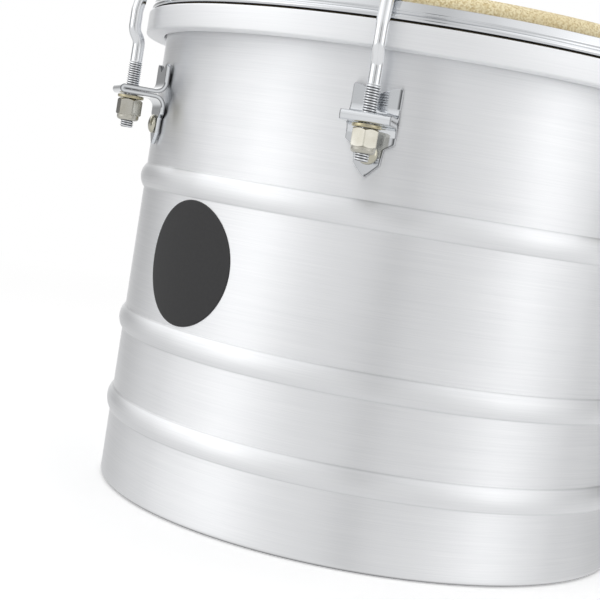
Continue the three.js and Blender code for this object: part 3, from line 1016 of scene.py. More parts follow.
@dataclass
class Shell:
    """Spun aluminium cylinder: inward flange, wall with three beads and a rolled upper edge."""

    layout: Layout
    flange: float = 5.0
    flange_round: float = 1.6
    bead_heights: tuple[float, ...] = (36.8, 75.5, 142.7)
    bead_width: float = 10.7
    bead_rise: float = 2.2
    crease: float = 0.22
    bead_margin: float = 6.6
    # Painted shade: dark lines where the beads meet the wall, and a painted contact shadow at the
    # base.
    bead_foot_shade: float = 0.13
    bead_top_shade: float = 0.24
    bead_shade_half: float = 0.5
    rim_shadow: float = 0.9
    rim_shadow_height: float = 1.3
    rim_shadow_gain: float = 1.4
    segments: int = 288

    def bead(self, height: np.ndarray) -> np.ndarray:
        """How far the beads stand out.

        Each bead is a circular arc over its chord, h = sqrt(R^2 - z^2) - (R - rise), and the smooth
        maximum (h + sqrt(h^2 + crease^2)) / 2 gives its feet their small fillets.

        Args:
            height: Heights on the wall.

        Returns:
            The wall's stand at each height.
        """
        chord = self.bead_width / 2
        radius = (chord**2 + self.bead_rise**2) / (2 * self.bead_rise)
        stand = np.zeros_like(height)
        for middle in self.bead_heights:
            z = np.clip(height - middle, -radius, radius)
            h = np.sqrt(radius**2 - z**2) - (radius - self.bead_rise)
            lift = (h + np.sqrt(h**2 + self.crease**2)) / 2
            stand += np.where(np.abs(height - middle) < self.bead_margin, lift, 0)
        return stand

    def middle(self) -> np.ndarray:
        """Middle line of the sheet, from the flange's edge to the rolled edge's end.

        Returns:
            Array of reach and height.
        """
        at = self.layout
        half = at.shell_wall / 2
        wall_reach = at.shell_radius - half
        bend = (wall_reach - self.flange_round, half + self.flange_round)
        foot = line((at.shell_radius - self.flange, half), (bend[0], half), 6)
        corner = arc(bend, self.flange_round, -90, 0, 8)[:-1]
        top = at.shell_height - at.bearing_roll
        spans, below = [np.array([bend[1]])], bend[1]
        for middle in self.bead_heights:
            low, high = middle - self.bead_margin, middle + self.bead_margin
            spans += [np.linspace(below, low, 6)[1:], np.linspace(low, high, 49)[1:]]
            below = high
        spans.append(np.linspace(below, top, 12)[1:-1])
        height = np.concatenate(spans)
        wall = np.column_stack([wall_reach + self.bead(height), height])
        roll = arc((at.shell_radius - at.bearing_roll, top), at.bearing_roll - half, 0, 180, 24)
        return np.concatenate([foot, corner, wall, roll])

    def grime(self, surface: Surface) -> np.ndarray:
        """How much painted shade each vertex holds: dark lines at the beads' feet and a contact
        shadow at the rim.

        A line fades evenly with the distance from its middle, and only the outer face has any.

        Args:
            surface: The shell.

        Returns:
            One number a vertex, from 0 to 1.
        """
        height = surface.points[:, 2]
        gain = self.rim_shadow_gain
        shading = self.rim_shadow * np.clip(gain - gain * height / self.rim_shadow_height, 0, 1)
        for middle in self.bead_heights:
            away = np.abs(np.abs(height - middle) - self.bead_width / 2)
            tone = np.where(height > middle, self.bead_top_shade, self.bead_foot_shade)
            shading = np.maximum(shading, tone * np.clip(1 - away / self.bead_shade_half, 0, 1))
        return shading * (surface.reach() > self.layout.shell_radius - self.flange_round)

    def build(self, shop: Workshop) -> None:
        """Makes the shell.

        Args:
            shop: Workshop that makes and dresses the pieces.
        """
        surface = revolved(sheet_outline(self.middle(), self.layout.shell_wall), self.segments)
        surface = replace(surface, grime=self.grime(surface))
        shop.fine("shell", surface, BRUSHED_ALUMINIUM)


@dataclass
class HeadRing:
    """Channel that carries the skin: low inner wall, floor and a tall flat outer face."""

    layout: Layout
    rounds: tuple[float, ...] = (0.5, 0.8, 1.0, 0.9, 0.4, 0.5, 0.5, 0.5)
    # Painted shade on the top edge and the inner wall's top, where the gap under the hoop is dark.
    top_shade_depth: float = 0.02
    inner_shade_depth: float = 2.0
    shade_inset: float = 0.6
    segments: int = 288

    def outline(self) -> np.ndarray:
        """Cross-section of the channel with its edges eased.

        Returns:
            Closed array of reach and height.
        """
        at = self.layout
        inner = at.shell_radius + at.ring_clearance
        outer, wall = at.ring_radius, at.ring_wall
        low, top = at.ring_bottom, at.ring_top
        inner_top = top - at.skin_entry - at.gap
        corners = [
            (inner, inner_top), (inner, low), (outer, low), (outer, top),
            (outer - wall, top), (outer - wall, low + wall), (inner + wall, low + wall),
            (inner + wall, inner_top),
        ]
        return rounded(corners, self.rounds)

    def build(self, shop: Workshop) -> None:
        """Makes the ring, with painted shade on and inside its upper edge, in the dark gap under
        the hoop.

        Args:
            shop: Workshop that makes and dresses the pieces.
        """
        at = self.layout
        surface = revolved(self.outline(), self.segments)
        height = surface.points[:, 2]
        inside = surface.reach() < at.ring_radius - self.shade_inset
        dark = height > at.ring_top - self.top_shade_depth
        dark |= inside & (height > at.ring_top - self.inner_shade_depth)
        shop.fine("head_ring", replace(surface, grime=dark.astype(float)), SATIN_ALUMINIUM)


@dataclass
class Counterhoop:
    """Pressed hoop: rolled bead at its foot, a crease and a band that leans in to a bright edge."""

    layout: Layout
    wall: float = 1.7
    bead: float = 3.1
    bead_turn: float = 78.0
    band_inset: float = 0.75
    crease: float = 0.5
    crease_inset: float = 0.12
    crease_rise: float = 0.42
    crease_turn: tuple[float, float] = (205.0, 130.0)
    face_start: Point = (0.14, 0.28)
    lean: float = 1.1
    edge: float = 0.5
    foot_edge: float = 0.2
    # Painted shade under the rolled foot, where the gap above the ring is dark.
    foot_shade_height: float = 0.35
    foot_shade_fade: float = 0.3
    segments: int = 288

    def outline(self) -> np.ndarray:
        """Cross-section of the hoop.

        Returns:
            Closed array of reach and height.
        """
        at = self.layout
        low, top, half = at.hoop_bottom, at.hoop_top, self.bead / 2
        band = at.hoop_radius - self.band_inset
        inner, fold = band - self.wall, low + self.bead
        outer_edge = (band - self.lean - self.edge, top - self.edge)
        inner_edge = (inner - self.lean + self.edge, top - self.edge)
        roll = arc((at.hoop_radius - half, low + half), half, -90, self.bead_turn, 14)
        middle = (band + self.crease_inset, fold + self.crease_rise)
        rest = arc(middle, self.crease + self.crease_inset, *self.crease_turn, 6)
        start = tuple(rest[-1] + np.array(self.face_start))
        return np.concatenate(
            [
                roll,
                rest,
                line(start, (band - self.lean, top - self.edge), 6),
                arc(outer_edge, self.edge, 0, 90, 5),
                arc(inner_edge, self.edge, 90, 180, 5),
                [(inner, fold), (inner, low + self.foot_edge), (inner + self.foot_edge, low)],
            ]
        )

    def build(self, shop: Workshop) -> None:
        """Makes the hoop, with painted shade under its rolled foot, in the gap above the ring.

        Args:
            shop: Workshop that makes and dresses the pieces.
        """
        surface = revolved(self.outline(), self.segments)
        height = surface.points[:, 2] - self.layout.hoop_bottom
        shading = np.clip((self.foot_shade_height + self.foot_shade_fade / 2 - height) / self.foot_shade_fade, 0, 1)
        shop.fine("counterhoop", replace(surface, grime=shading), HOOP_CHROME, sharp=70)


@dataclass
class Head:
    """Goatskin over the bearing edge and round the wire in the channel."""

    layout: Layout
    bump_radius: float = 8.0
    bump_rise: float = 1.58
    collar_start: float = 1.2
    tail: float = 0.7
    crest: float = 0.9
    crest_start: float = 95.0
    crest_full: float = 116.0
    crest_height: float = 3.6
    segments: int = 256

    def wrap(self) -> tuple[float, float, float]:
        """Reach and height of the wire's middle, and radius of the skin's middle line round it.

        Returns:
            The three lengths.
        """
        at = self.layout
        half = at.skin_thickness / 2
        inner = at.shell_radius + at.ring_clearance + at.ring_wall + at.gap + half
        outer = at.ring_radius - at.ring_wall - at.gap - half
        radius = (outer - inner) / 2
        return inner + radius, at.ring_bottom + at.ring_wall + at.gap + half + radius, radius

    def middle(self) -> np.ndarray:
        """Middle line of the skin, from the drum's axis to its tucked edge.

        Returns:
            Array of reach and height.
        """
        at = self.layout
        height = at.skin_height
        roll = at.bearing_roll + at.gap + at.skin_thickness / 2
        centre = (at.shell_radius - at.bearing_roll, at.shell_height - at.bearing_roll)
        reach, low, radius = self.wrap()
        bend, end = at.ring_top - at.skin_entry, at.ring_top - self.tail
        half, crown = self.bump_radius / 2, height + self.bump_rise
        bump = bezier([(0, crown), (half, crown), (half, height), (self.bump_radius, height)], 20)
        collar = (centre[0] + roll, centre[1] - self.collar_start)
        return np.concatenate(
            [
                bump,
                line((self.bump_radius, height), (centre[0], height), 24),
                arc(centre, roll, 90, 4, 14),
                line(collar, (reach - radius, bend), 8)[1:],
                line((reach - radius, bend), (reach - radius, low), 4),
                arc((reach, low), radius, 180, 360, 16),
                line((reach + radius, low), (reach + radius, end), 5)[1:],
                [(reach + radius, end)],
            ]
        )

    def swell(self, outer: np.ndarray) -> np.ndarray:
        """Outer face of the skin with the stiff roll that the hide keeps over the bearing edge.

        The rise is crest times one smooth step of the reach and another of the height over the
        roll's middle, so it dies out towards the drum's middle and down the outside.

        Args:
            outer: Reach and height of the plain outer face.

        Returns:
            The raised face.
        """
        low = self.layout.shell_height - self.layout.bearing_roll
        across = eased((outer[:, 0] - self.crest_start) / (self.crest_full - self.crest_start))
        rise = self.crest * across * eased((outer[:, 1] - low) / self.crest_height)
        return outer + np.column_stack([np.zeros(len(outer)), rise])

    def build(self, shop: Workshop) -> None:
        """Makes the skin, whose section has no round at the axis, and the wire inside its edge.

        Args:
            shop: Workshop that makes and dresses the pieces.
        """
        middle = self.middle()
        half = self.layout.skin_thickness / 2
        outline = sheet_outline(middle, self.layout.skin_thickness)
        inner, rest = outline[: len(middle)], outline[len(middle) : 1 - CAP_STEPS]
        profile = np.concatenate([inner, self.swell(rest)])
        profile[0] = (0, middle[0, 1] - half)
        profile[-1] = (0, middle[0, 1] + half)
        shop.fine("head_skin", spindle(profile, self.segments), GOATSKIN, sharp=60)
        reach, low, radius = self.wrap()
        wire = arc((reach, low), radius - half - self.layout.gap, 0, 360, 16)[:-1]
        shop.fine("flesh_wire", revolved(wire, self.segments), STEEL_WIRE)


@dataclass
class Roundel:
    """Plain dark vinyl disc on the shell, between the middle and top beads."""

    layout: Layout
    radius: float = 27.1
    azimuth: float = -36.4
    height: float = 109.2
    thickness: float = 0.16
    lift: float = 0.03
    edge: float = 0.12
    rings: int = 28
    segments: int = 144

    def surface(self) -> Surface:
        """Disc bent round the shell.

        A point at distance d and angle a from the middle goes to azimuth + d cos a / R and height
        + d sin a on a cylinder, whose radius follows the profile of the disc's face, edge and back.

        Returns:
            The closed surface.
        """
        at = self.layout
        face = np.linspace(0, self.radius - self.edge, self.rings)[1:]
        base, top = at.shell_radius + self.lift, at.shell_radius + self.lift + self.thickness
        distance = np.concatenate([face, [self.radius, self.radius], face[::-1]])
        level = np.concatenate(
            [np.full(len(face), top), [top - self.edge / 2, base], np.full(len(face), base)]
        )
        a, middle = angles(self.segments), math.radians(self.azimuth)
        turn = middle + distance[:, None] * np.cos(a) / at.shell_radius
        height = self.height + distance[:, None] * np.sin(a)
        reach = np.broadcast_to(level[:, None], turn.shape)
        points = placed(reach * np.sin(turn), -reach * np.cos(turn), height)
        hubs = [[r * math.sin(middle), -r * math.cos(middle), self.height] for r in (top, base)]
        return capped(points, self.segments, np.array(hubs))

    def build(self, shop: Workshop) -> None:
        """Makes the disc."""
        shop.dress(shop.mesh("shell_disc", self.surface()), BLACK_VINYL, "drum")


# ---------------------------------------------------------------- tuning stations


@dataclass
class Bracket:
    """One strap folded to an eared upper plate, a doubled shelf and a shouldered, pointed tab."""

    layout: Layout
    bend: float = 4.4
    reach: float = 21.4
    width: float = 19.8
    ear_rise: float = 12.0
    ear_flat: float = 2.6
    ear_fall: float = 0.6
    ear_round: float = 1.1
    notch: float = 3.7
    shoulder_drop: float = 9.7
    shoulder_height: float = 3.2
    tab: float = 11.8
    tab_end: float = 10.8
    tab_end_drop: float = 18.0
    tip_drop: float = 24.0
    tip_round: float = 1.3
    hole: float = 3.55
    hole_margin: float = 2.0
    rivet_hole: float = 2.3
    rivet_span: tuple[float, float] = (-3.0, 5.0)
    bevel: float = 0.42
    bevel_steps: int = 3
    edge_angle: float = 50.0
    wall_rings: tuple[float, float] = (0.42, 0.58)
    # Painted shade: dark seams, outlines and cut sides where the strap's edges and its gap to the
    # shell fall in shade.
    wall_shade: float = 0.92
    outline_shade: float = 0.85
    face_edge_shade: float = 0.35
    plate_darkening: float = 0.12
    seam_shade: tuple[float, float] = (0.6, 0.97)
    columns: int = 41
    upper_rows: int = 16
    lower_rows: int = 40

    def top_edge(self, across: np.ndarray) -> np.ndarray:
        """Height of the upper edge: a V between two flat-topped ears with round corners.

        Args:
            across: Distances from the strap's middle.

        Returns:
            The edge's height at each distance.
        """
        ear_top = self.layout.shelf_top + self.ear_rise
        flat = self.width / 2 - self.ear_round
        knots = [0.0, flat - self.ear_flat, flat]
        levels = [ear_top - self.notch, ear_top - self.ear_fall, ear_top]
        x = np.abs(across)
        past = np.clip(x - flat, 0, None)
        corner = self.ear_round - np.sqrt(np.clip(self.ear_round**2 - past**2, 0, None))
        return np.interp(x, knots, levels) - corner

    def low_edge(self, across: np.ndarray) -> np.ndarray:
        """Height of the lower edge: a V with a small round at its point.

        Args:
            across: Distances from the strap's middle.

        Returns:
            The edge's height at each distance.
        """
        tip = self.layout.shelf_top - self.tip_drop
        slope = (self.tip_drop - self.tab_end_drop) / (self.tab_end / 2)
        blunt = self.tip_round * 0.5
        return tip + slope * (np.sqrt(across**2 + blunt**2) - blunt)

    def half_width(self, height: np.ndarray) -> np.ndarray:
        """Half the lower plate's width: full, a smooth shoulder, then the tapering tab.

        Args:
            height: Heights on the plate.

        Returns:
            Half the width at each height.
        """
        shoulder = self.layout.shelf_top - self.shoulder_drop
        past = shoulder - self.shoulder_height - height
        length = self.tab_end_drop - self.shoulder_drop - self.shoulder_height
        tab = self.tab / 2 + np.clip(past / length, 0, 1) * (self.tab_end - self.tab) / 2
        share = eased((shoulder - height) / self.shoulder_height)
        return self.width / 2 + share * (tab - self.width / 2)

    def fold(self) -> np.ndarray:
        """Middle line of the bends and the doubled shelf, from the upper plate to the lower one.

        Returns:
            Array of reach and height.
        """
        at = self.layout
        upper, lower = at.shelf_top - at.strap / 2, at.shelf_bottom + at.strap / 2
        radius = (upper - lower) / 2
        hem = at.shell_radius + self.reach - at.strap / 2 - radius
        centre = at.plate_middle + self.bend
        return np.concatenate(
            [
                arc((centre, upper + self.bend), self.bend, 180, 270, 12)[:-1],
                line((centre, upper), (hem, upper), 12),
                arc((hem, lower + radius), radius, 90, -90, 12)[:-1],
                line((hem, lower), (centre, lower), 12),
                arc((centre, lower - self.bend), self.bend, 90, 180, 12),
            ]
        )

    def face(self) -> tuple[np.ndarray, np.ndarray]:
        """Middle of the strap and its normals.

        Along the plates the height runs from the shaped edge to the bend, so each column of the
        grid ends on the edge's outline.

        Returns:
            Grid of points, and one normal a row that points to the strap's front.
        """
        plate, full = self.layout.plate_middle, self.width / 2
        across = np.linspace(-1, 1, self.columns)
        fold = self.fold()
        high = self.top_edge(across * full)
        v = np.linspace(0, 1, self.upper_rows, endpoint=False)[:, None]
        upper = (plate, across * full, high + v * (fold[0, 1] - high))
        middle = (fold[:, :1], across * full, fold[:, 1:])
        low = self.low_edge(across * self.tab_end / 2)
        w = np.linspace(0, 1, self.lower_rows + 1)[1:, None]
        lower_z = fold[-1, 1] + w * (low - fold[-1, 1])
        lower = (plate, across * self.half_width(lower_z), lower_z)
        parts = [np.stack(np.broadcast_arrays(*part), -1) for part in (upper, middle, lower)]
        down = [0.0, -1.0]
        bends = np.gradient(fold, axis=0)
        bends[[0, -1]] = down
        spine = np.concatenate(
            [np.full((self.upper_rows, 2), down), bends, np.full((self.lower_rows, 2), down)]
        )
        spine /= np.linalg.norm(spine, axis=1, keepdims=True)
        normal = np.stack([-spine[:, 1], np.zeros(len(spine)), spine[:, 0]], -1)[:, None, :]
        return np.concatenate(parts), normal

    def front_darkening(self, rows: int) -> np.ndarray:
        """Front face: the plates evenly a little darker, and a painted shade seam just inside the
        +Y edge.

        Args:
            rows: Rows of the strap's grid.

        Returns:
            Grid of numbers from 0 to 1.
        """
        inside = slice(-3, -1)
        shading = np.full((rows, self.columns), self.plate_darkening)
        shading[:, inside] = self.seam_shade
        shading[inside, self.columns // 2 : -1] = np.array(self.seam_shade)[:, None]
        shading[self.upper_rows : rows - self.lower_rows] = 0
        return shading.ravel()

    def sheet(self) -> Surface:
        """The strap as a surface of the distance along it and the share across it, on both faces.

        The two faces lie half the strap's thickness off the middle, and the cut sides between them
        have two inner rings, at the shares of wall_rings of the thickness. The front's plates are a
        little darker, the front carries a painted dark seam and painted dark outlines, and the
        back's rim and the cut side that looks away from the seam carry painted shade too.

        Returns:
            The closed surface.
        """
        sheet, normal = self.face()
        half = self.layout.strap / 2
        rows, columns = sheet.shape[:2]
        count = rows * columns
        faces = grid_faces(rows, columns, False, False)
        number = np.arange(count).reshape(rows, columns)
        rim = np.concatenate([number[0], number[1:, -1], number[-1, -2::-1], number[-2:0:-1, 0]])
        sides = [(sheet + half * normal).reshape(-1, 3), (sheet - half * normal).reshape(-1, 3)]
        front, back = (side[rim] for side in sides)
        rings = [front + s * (back - front) for s in self.wall_rings]
        inner = 2 * count + np.arange(len(rim))
        loops = np.stack([rim, inner, inner + len(rim), rim + count])
        ahead = np.roll(loops, -1, axis=1)
        edge = np.stack([loops[:-1], ahead[:-1], ahead[1:], loops[1:]], -1).reshape(-1, 4)
        quads = np.concatenate([faces[:, ::-1], faces + count, edge])
        front_darkening = self.front_darkening(rows)
        unshaded, flat = sheet.reshape(-1, 3)[rim, 1] > 0, front_darkening[rim] > 0
        shading = np.zeros(2 * count + 2 * len(rim))
        shading[:count] = front_darkening
        shading[rim] = np.where(flat, np.where(unshaded, 0.0, self.face_edge_shade), self.outline_shade)
        shading[rim + count] = self.outline_shade
        shading[2 * count :] = np.tile(np.where(flat & ~unshaded, self.wall_shade, 0.0), 2)
        return Surface(np.concatenate([*sides, *rings]), quads, grime=shading).outward()

    def cutters(self) -> list[Surface]:
        """Pegs for the rod's hole through the shelf and the rivet's hole through the tab.

        Returns:
            The two pegs, at the station whose outward direction is +X.
        """
        at = self.layout
        low, high = at.shelf_bottom - self.hole_margin, at.shelf_top + self.hole_margin
        start, end = self.rivet_span
        rod = np.array([(0, low), (self.hole, low), (self.hole, high), (0, high)])
        wide = self.rivet_hole
        rivet = np.array([(0, start), (wide, start), (wide, end), (0, end)])
        return [
            spindle(rod, 64).moved(x=at.rod_axis),
            spindle(rivet, 48).laid().moved(x=at.plate_inner, z=at.shelf_top - at.rivet_drop),
        ]

    def build(self, shop: Workshop, number: int) -> None:
        """Makes one bracket: the strap, its two holes and its eased edges.

        Args:
            shop: Workshop that makes and dresses the pieces.
            number: Tuning station, counted from 1.
        """
        turn = self.layout.station_turn(number)
        piece = shop.mesh(f"claw_bracket_{number}_fine", self.sheet().turned(turn))
        pegs = [shop.mesh("peg", peg.turned(turn)) for peg in self.cutters()]
        for peg in pegs:
            cut = piece.modifiers.new("hole", "BOOLEAN")
            cut.operation, cut.solver, cut.object = "DIFFERENCE", "EXACT", peg
        shop.applied(piece)
        for peg in pegs:
            bpy.data.objects.remove(peg)
        edge = math.radians(self.edge_angle)
        ease = piece.modifiers.new("eased edges", "BEVEL")
        ease.width, ease.segments = self.bevel * MM, self.bevel_steps
        ease.limit_method, ease.angle_limit = "ANGLE", edge
        shop.applied(piece)
        piece.data.set_sharp_from_angle(angle=edge)
        shop.dress(piece, CHROME, "drum", f"claw_bracket_{number}")


@dataclass
class Hook:
    """Rod with a rolled thread, a step past the ring and a flattened claw over the hoop."""

    layout: Layout
    shank: float = 2.65
    thread_length: float = 30.0
    stick_out: float = 3.1
    pitch: float = 1.0
    thread_depth: float = 0.45
    crest_share: float = 0.3
    flank_share: float = 0.6
    thread_fade: float = 1.6
    thread_end: float = 0.8
    # Painted shade in the thread's roots, where the neighbouring ridges shade them.
    root_shade: float = 0.92
    root_shade_power: float = 1.5
    chamfer: float = 0.6
    bow: float = 2.9
    bow_below: float = 8.2
    bow_above: float = 0.8
    lean_below: float = 11.0
    lean: float = 1.6
    turn: float = 5.2
    turn_pull: tuple[float, float] = (0.45, 0.5)
    turn_slope: float = 0.1
    claw_width: float = 8.0
    claw_thickness: float = 4.3
    flat_span: tuple[float, float] = (17.0, 8.5)
    flat_power: float = 2.6
    lip_drop: float = 3.2
    lip_reach: float = 128.6
    lip_thickness: float = 2.5
    lip_bend: float = 2.3
    lip_span: tuple[float, float] = (6.5, 2.8)
    end_span: tuple[float, float] = (0.9, -0.3)
    end_taper: tuple[float, float] = (0.5, 0.45)
    sides: int = 32
    thread_steps: int = 12

    def path(self) -> np.ndarray:
        """Middle line of the rod above its thread, in reach and height.

        Returns:
            Array of reach and height.
        """
        at = self.layout
        axis, bow = at.rod_axis, at.rod_axis + self.bow
        start, end = at.ring_bottom - self.bow_below, at.ring_bottom + self.bow_above
        middle = (start + end) / 2
        thread_top = at.nut_bottom - self.stick_out + self.thread_length
        seat = at.hoop_top + at.gap
        over, claw = seat + self.shank, seat + self.claw_thickness / 2
        lean_start, reach = at.hoop_top - self.lean_below, bow - self.lean
        up, back = self.turn_pull
        low = (reach, over - self.turn)
        high = (reach - self.turn, over - self.turn_slope)
        bend = self.lip_reach + self.lip_bend
        lip_top, lip_end = claw - self.lip_bend, seat - self.lip_drop
        pulls = [(reach - self.turn_slope, over - up * self.turn), (reach - back * self.turn, over)]
        return np.concatenate(
            [
                line((axis, thread_top + self.thread_end), (axis, start), 6),
                bezier([(axis, start), (axis, middle), (bow, middle), (bow, end)], 22),
                line((bow, end), (bow, lean_start), 6),
                line((bow, lean_start), low, 6),
                bezier([low, *pulls, high], 18),
                line(high, (bend, claw), 10),
                arc((bend, lip_top), self.lip_bend, 90, 180, 12),
                line((self.lip_reach, lip_top), (self.lip_reach, lip_end), 6)[1:],
                [(self.lip_reach, lip_end)],
            ]
        )

    def section(self, path: np.ndarray) -> tuple[np.ndarray, np.ndarray, np.ndarray]:
        """Half width, half depth and squareness along the rod.

        The round shank widens and flattens, by smooth steps of the distance along the path, as it
        passes the outside of the hoop, and thins again in the lip. Each span gives the start and
        end of a step as distances from the rod's end.

        Args:
            path: The rod's middle line.

        Returns:
            One number a point of the path for each of the three.
        """
        s = np.concatenate([[0], np.cumsum(np.linalg.norm(np.diff(path, axis=0), axis=1))])
        flat, lip, end = (
            self.step(s, s[-1] - far, s[-1] - near)
            for far, near in (self.flat_span, self.lip_span, self.end_span)
        )
        width = self.shank + flat * (self.claw_width / 2 - self.shank) - self.end_taper[0] * end
        depth = self.shank + flat * (self.claw_thickness / 2 - self.shank)
        depth = depth + lip * (self.lip_thickness / 2 - depth) - self.end_taper[1] * end
        return width, depth, 2 + self.flat_power * flat

    @staticmethod
    def step(s: np.ndarray, start: float, end: float) -> np.ndarray:
        """Smooth step from 0 at the start to 1 at the end."""
        return eased((s - start) / (end - start))

    def thread(self, height: np.ndarray, angle: np.ndarray) -> tuple[np.ndarray, np.ndarray]:
        """Radius of the threaded foot and the painted shade in its root.

        A ramp up and down once a pitch follows height / pitch - angle / one turn, cut flat at the
        crest and root. It fades into the shank at its upper end and a chamfer at its lower one.

        Args:
            height: Heights above the rod's lower end, in a column.
            angle: Angles in radians, in a row.

        Returns:
            Two grids, in millimetres and from 0 to 1.
        """
        phase = height / self.pitch - angle / FULL_TURN
        tooth = np.abs(2 * (phase - np.floor(phase)) - 1)
        tooth = np.clip((tooth - self.crest_share) / self.flank_share, 0, 1)
        crest = self.layout.thread_radius
        cut = crest - self.thread_depth * tooth
        fade = self.step(height, self.thread_length - self.thread_fade, self.thread_length)
        painted_dark = self.root_shade * tooth**self.root_shade_power * (1 - fade)
        chamfer = crest - self.chamfer + height
        return np.minimum(cut + fade * (self.shank - cut), chamfer), painted_dark

    def surface(self) -> Surface:
        """The threaded foot and the bent rod as one closed surface with X outwards.

        Returns:
            The surface.
        """
        at = self.layout
        a = angles(self.sides)[None, :]
        rows = int(self.thread_length / self.pitch) * self.thread_steps
        height = np.linspace(0, self.thread_length, rows + 1)[:, None]
        radius, painted_dark = self.thread(height, a)
        bottom = at.nut_bottom - self.stick_out
        foot = placed(at.rod_axis + radius * np.sin(a), radius * np.cos(a), bottom + height)
        path = self.path()
        rod = swept(path, *self.section(path), self.sides)
        hubs = np.array([[at.rod_axis, 0, bottom], [path[-1, 0], 0, path[-1, 1]]])
        shading = np.concatenate([painted_dark.ravel(), np.zeros(len(rod))])
        return capped(np.concatenate([foot, rod]), self.sides, hubs, shading)

    def build(self, shop: Workshop, number: int) -> None:
        """Makes one hook."""
        surface = self.surface().turned(self.layout.station_turn(number))
        shop.fine(f"claw_hook_{number}", surface, BRIGHT_ZINC, f"hook_{number}", sharp=40)


@dataclass
class Washer:
    """Flat washer with eased edges."""

    layout: Layout
    radius: float = 5.8
    hole: float = 3.55
    rounds: tuple[float, ...] = (0.2, 0.45, 0.45, 0.2)
    segments: int = 72

    def build(self, shop: Workshop, number: int) -> None:
        """Makes one washer.

        Args:
            shop: Workshop that makes and dresses the pieces.
            number: Tuning station, counted from 1.
        """
        at = self.layout
        low, top = at.washer_bottom, at.washer_bottom + at.washer_thickness
        corners = [(self.hole, low), (self.radius, low), (self.radius, top), (self.hole, top)]
        surface = revolved(rounded(corners, self.rounds, 4), self.segments)
        surface = surface.moved(x=at.rod_axis).turned(at.station_turn(number))
        shop.fine(f"washer_{number}", surface, YELLOW_ZINC)


@dataclass
class LockNut:
    """Hexagon nut with its corners turned off at the top, over a round locking collar."""

    layout: Layout
    flats: float = 10.0
    bore: float = 3.25
    bore_chamfer: float = 0.35
    top_chamfer: float = 0.4
    collar_height: float = 2.3
    collar_radius: float = 4.9
    collar_round: float = 1.4
    collar_slope: float = 0.25
    rim_inset: float = 0.15
    step_out: float = 0.1
    step_up: float = 0.45
    corner_drop: float = 0.75
    edge_power: float = 70.0
    face_turns: tuple[float, ...] = (8.0, 8.0, 8.0, 8.0, 8.0, 37.5)
    segments: int = 144

    def hexagon(self, angle: np.ndarray) -> np.ndarray:
        """Reach of the hexagon, with its upright edges slightly rounded.

        The six faces join as a power mean: the sum of (cos(a - a_k) / apothem)^p to the power
        -1 / p.

        Args:
            angle: Angles in radians.

        Returns:
            The reach at each angle.
        """
        faces = np.radians(np.arange(6) * 60 + 30)[:, None]
        lean = np.clip(np.cos(angle[None, :] - faces), 0, None) / (self.flats / 2)
        return (lean**self.edge_power).sum(0) ** (-1 / self.edge_power)

    def surface(self) -> Surface:
        """The nut as its turned profile, cut to the hexagon wherever that is nearer the axis.

        Returns:
            The surface, standing on the origin.
        """
        height, bore = self.layout.nut_height, self.bore
        corner, rim = self.flats / math.sqrt(3), self.flats / 2 - self.rim_inset
        reach, turned = self.collar_radius, self.collar_round
        step = self.collar_height + self.step_up
        foot = [(bore, self.bore_chamfer, 2), (bore + self.bore_chamfer, 0, 2)]
        sides = [
            (reach, self.collar_height - self.collar_slope, 2),
            (rim + self.step_out, self.collar_height, 8),
            (corner, step, 14),
            (corner, height - self.corner_drop, 12),
            (rim, height, 6),
            (bore + self.top_chamfer, height, 3),
            (bore, height - self.top_chamfer, 10),
        ]
        profile = np.concatenate(
            [
                chain(foot, (reach - turned, 0)),
                arc((reach - turned, turned), turned, -90, 0, 10),
                chain(sides, (bore, self.bore_chamfer)),
            ]
        )
        a = angles(self.segments)
        reach = np.minimum(profile[:, :1], self.hexagon(a)[None, :])
        points = placed(reach * np.cos(a), reach * np.sin(a), profile[:, 1:])
        return Surface(points, grid_faces(len(profile), self.segments, True, True)).outward()

    def build(self, shop: Workshop, number: int) -> None:
        """Makes one nut, with its faces at the turn that its station has.

        Args:
            shop: Workshop that makes and dresses the pieces.
            number: Tuning station, counted from 1.
        """
        at = self.layout
        surface = self.surface().turned(math.radians(self.face_turns[number - 1]))
        surface = surface.moved(x=at.rod_axis, z=at.nut_bottom).turned(at.station_turn(number))
        shop.fine(f"lock_nut_{number}", surface, PALE_GOLD, f"nut_{number}", sharp=24)


@dataclass
class Rivet:
    """Domed rivet through the bracket's tab and the shell."""

    layout: Layout
    shank: float = 2.0
    head_radius: float = 4.2
    head_height: float = 2.3
    head_edge: float = 0.25
    tail_radius: float = 3.2
    tail_height: float = 1.1
    tail_flat: float = 0.6
    tail_shoulder: float = 0.45
    segments: int = 64

    def build(self, shop: Workshop, number: int) -> None:
        """Makes one rivet, turned about its own axis and laid outwards.

        Args:
            shop: Workshop that makes and dresses the pieces.
            number: Tuning station, counted from 1.
        """
        at = self.layout
        inner = at.shell_radius - at.shell_wall - at.gap
        outer = at.plate_inner + at.strap + at.gap
        end = inner - self.tail_height
        a = np.linspace(0, np.pi / 2, 15)[:, None]
        rise = outer + self.head_edge + (self.head_height - self.head_edge) * np.sin(a)
        profile = np.concatenate(
            [
                [(0, end), (self.tail_radius * self.tail_flat, end)],
                [(self.tail_radius, inner - self.tail_height * self.tail_shoulder)],
                [(self.tail_radius, inner), (self.shank, inner), (self.shank, outer)],
                [(self.head_radius, outer)],
                np.column_stack([self.head_radius * np.cos(a), rise]),
            ]
        )
        profile[-1, 0] = 0
        lying = spindle(profile, self.segments).laid().moved(z=at.shelf_top - at.rivet_drop)
        shop.fine(f"rivet_{number}", lying.turned(at.station_turn(number)), NICKEL)


# ---------------------------------------------------------------- stick and lashing


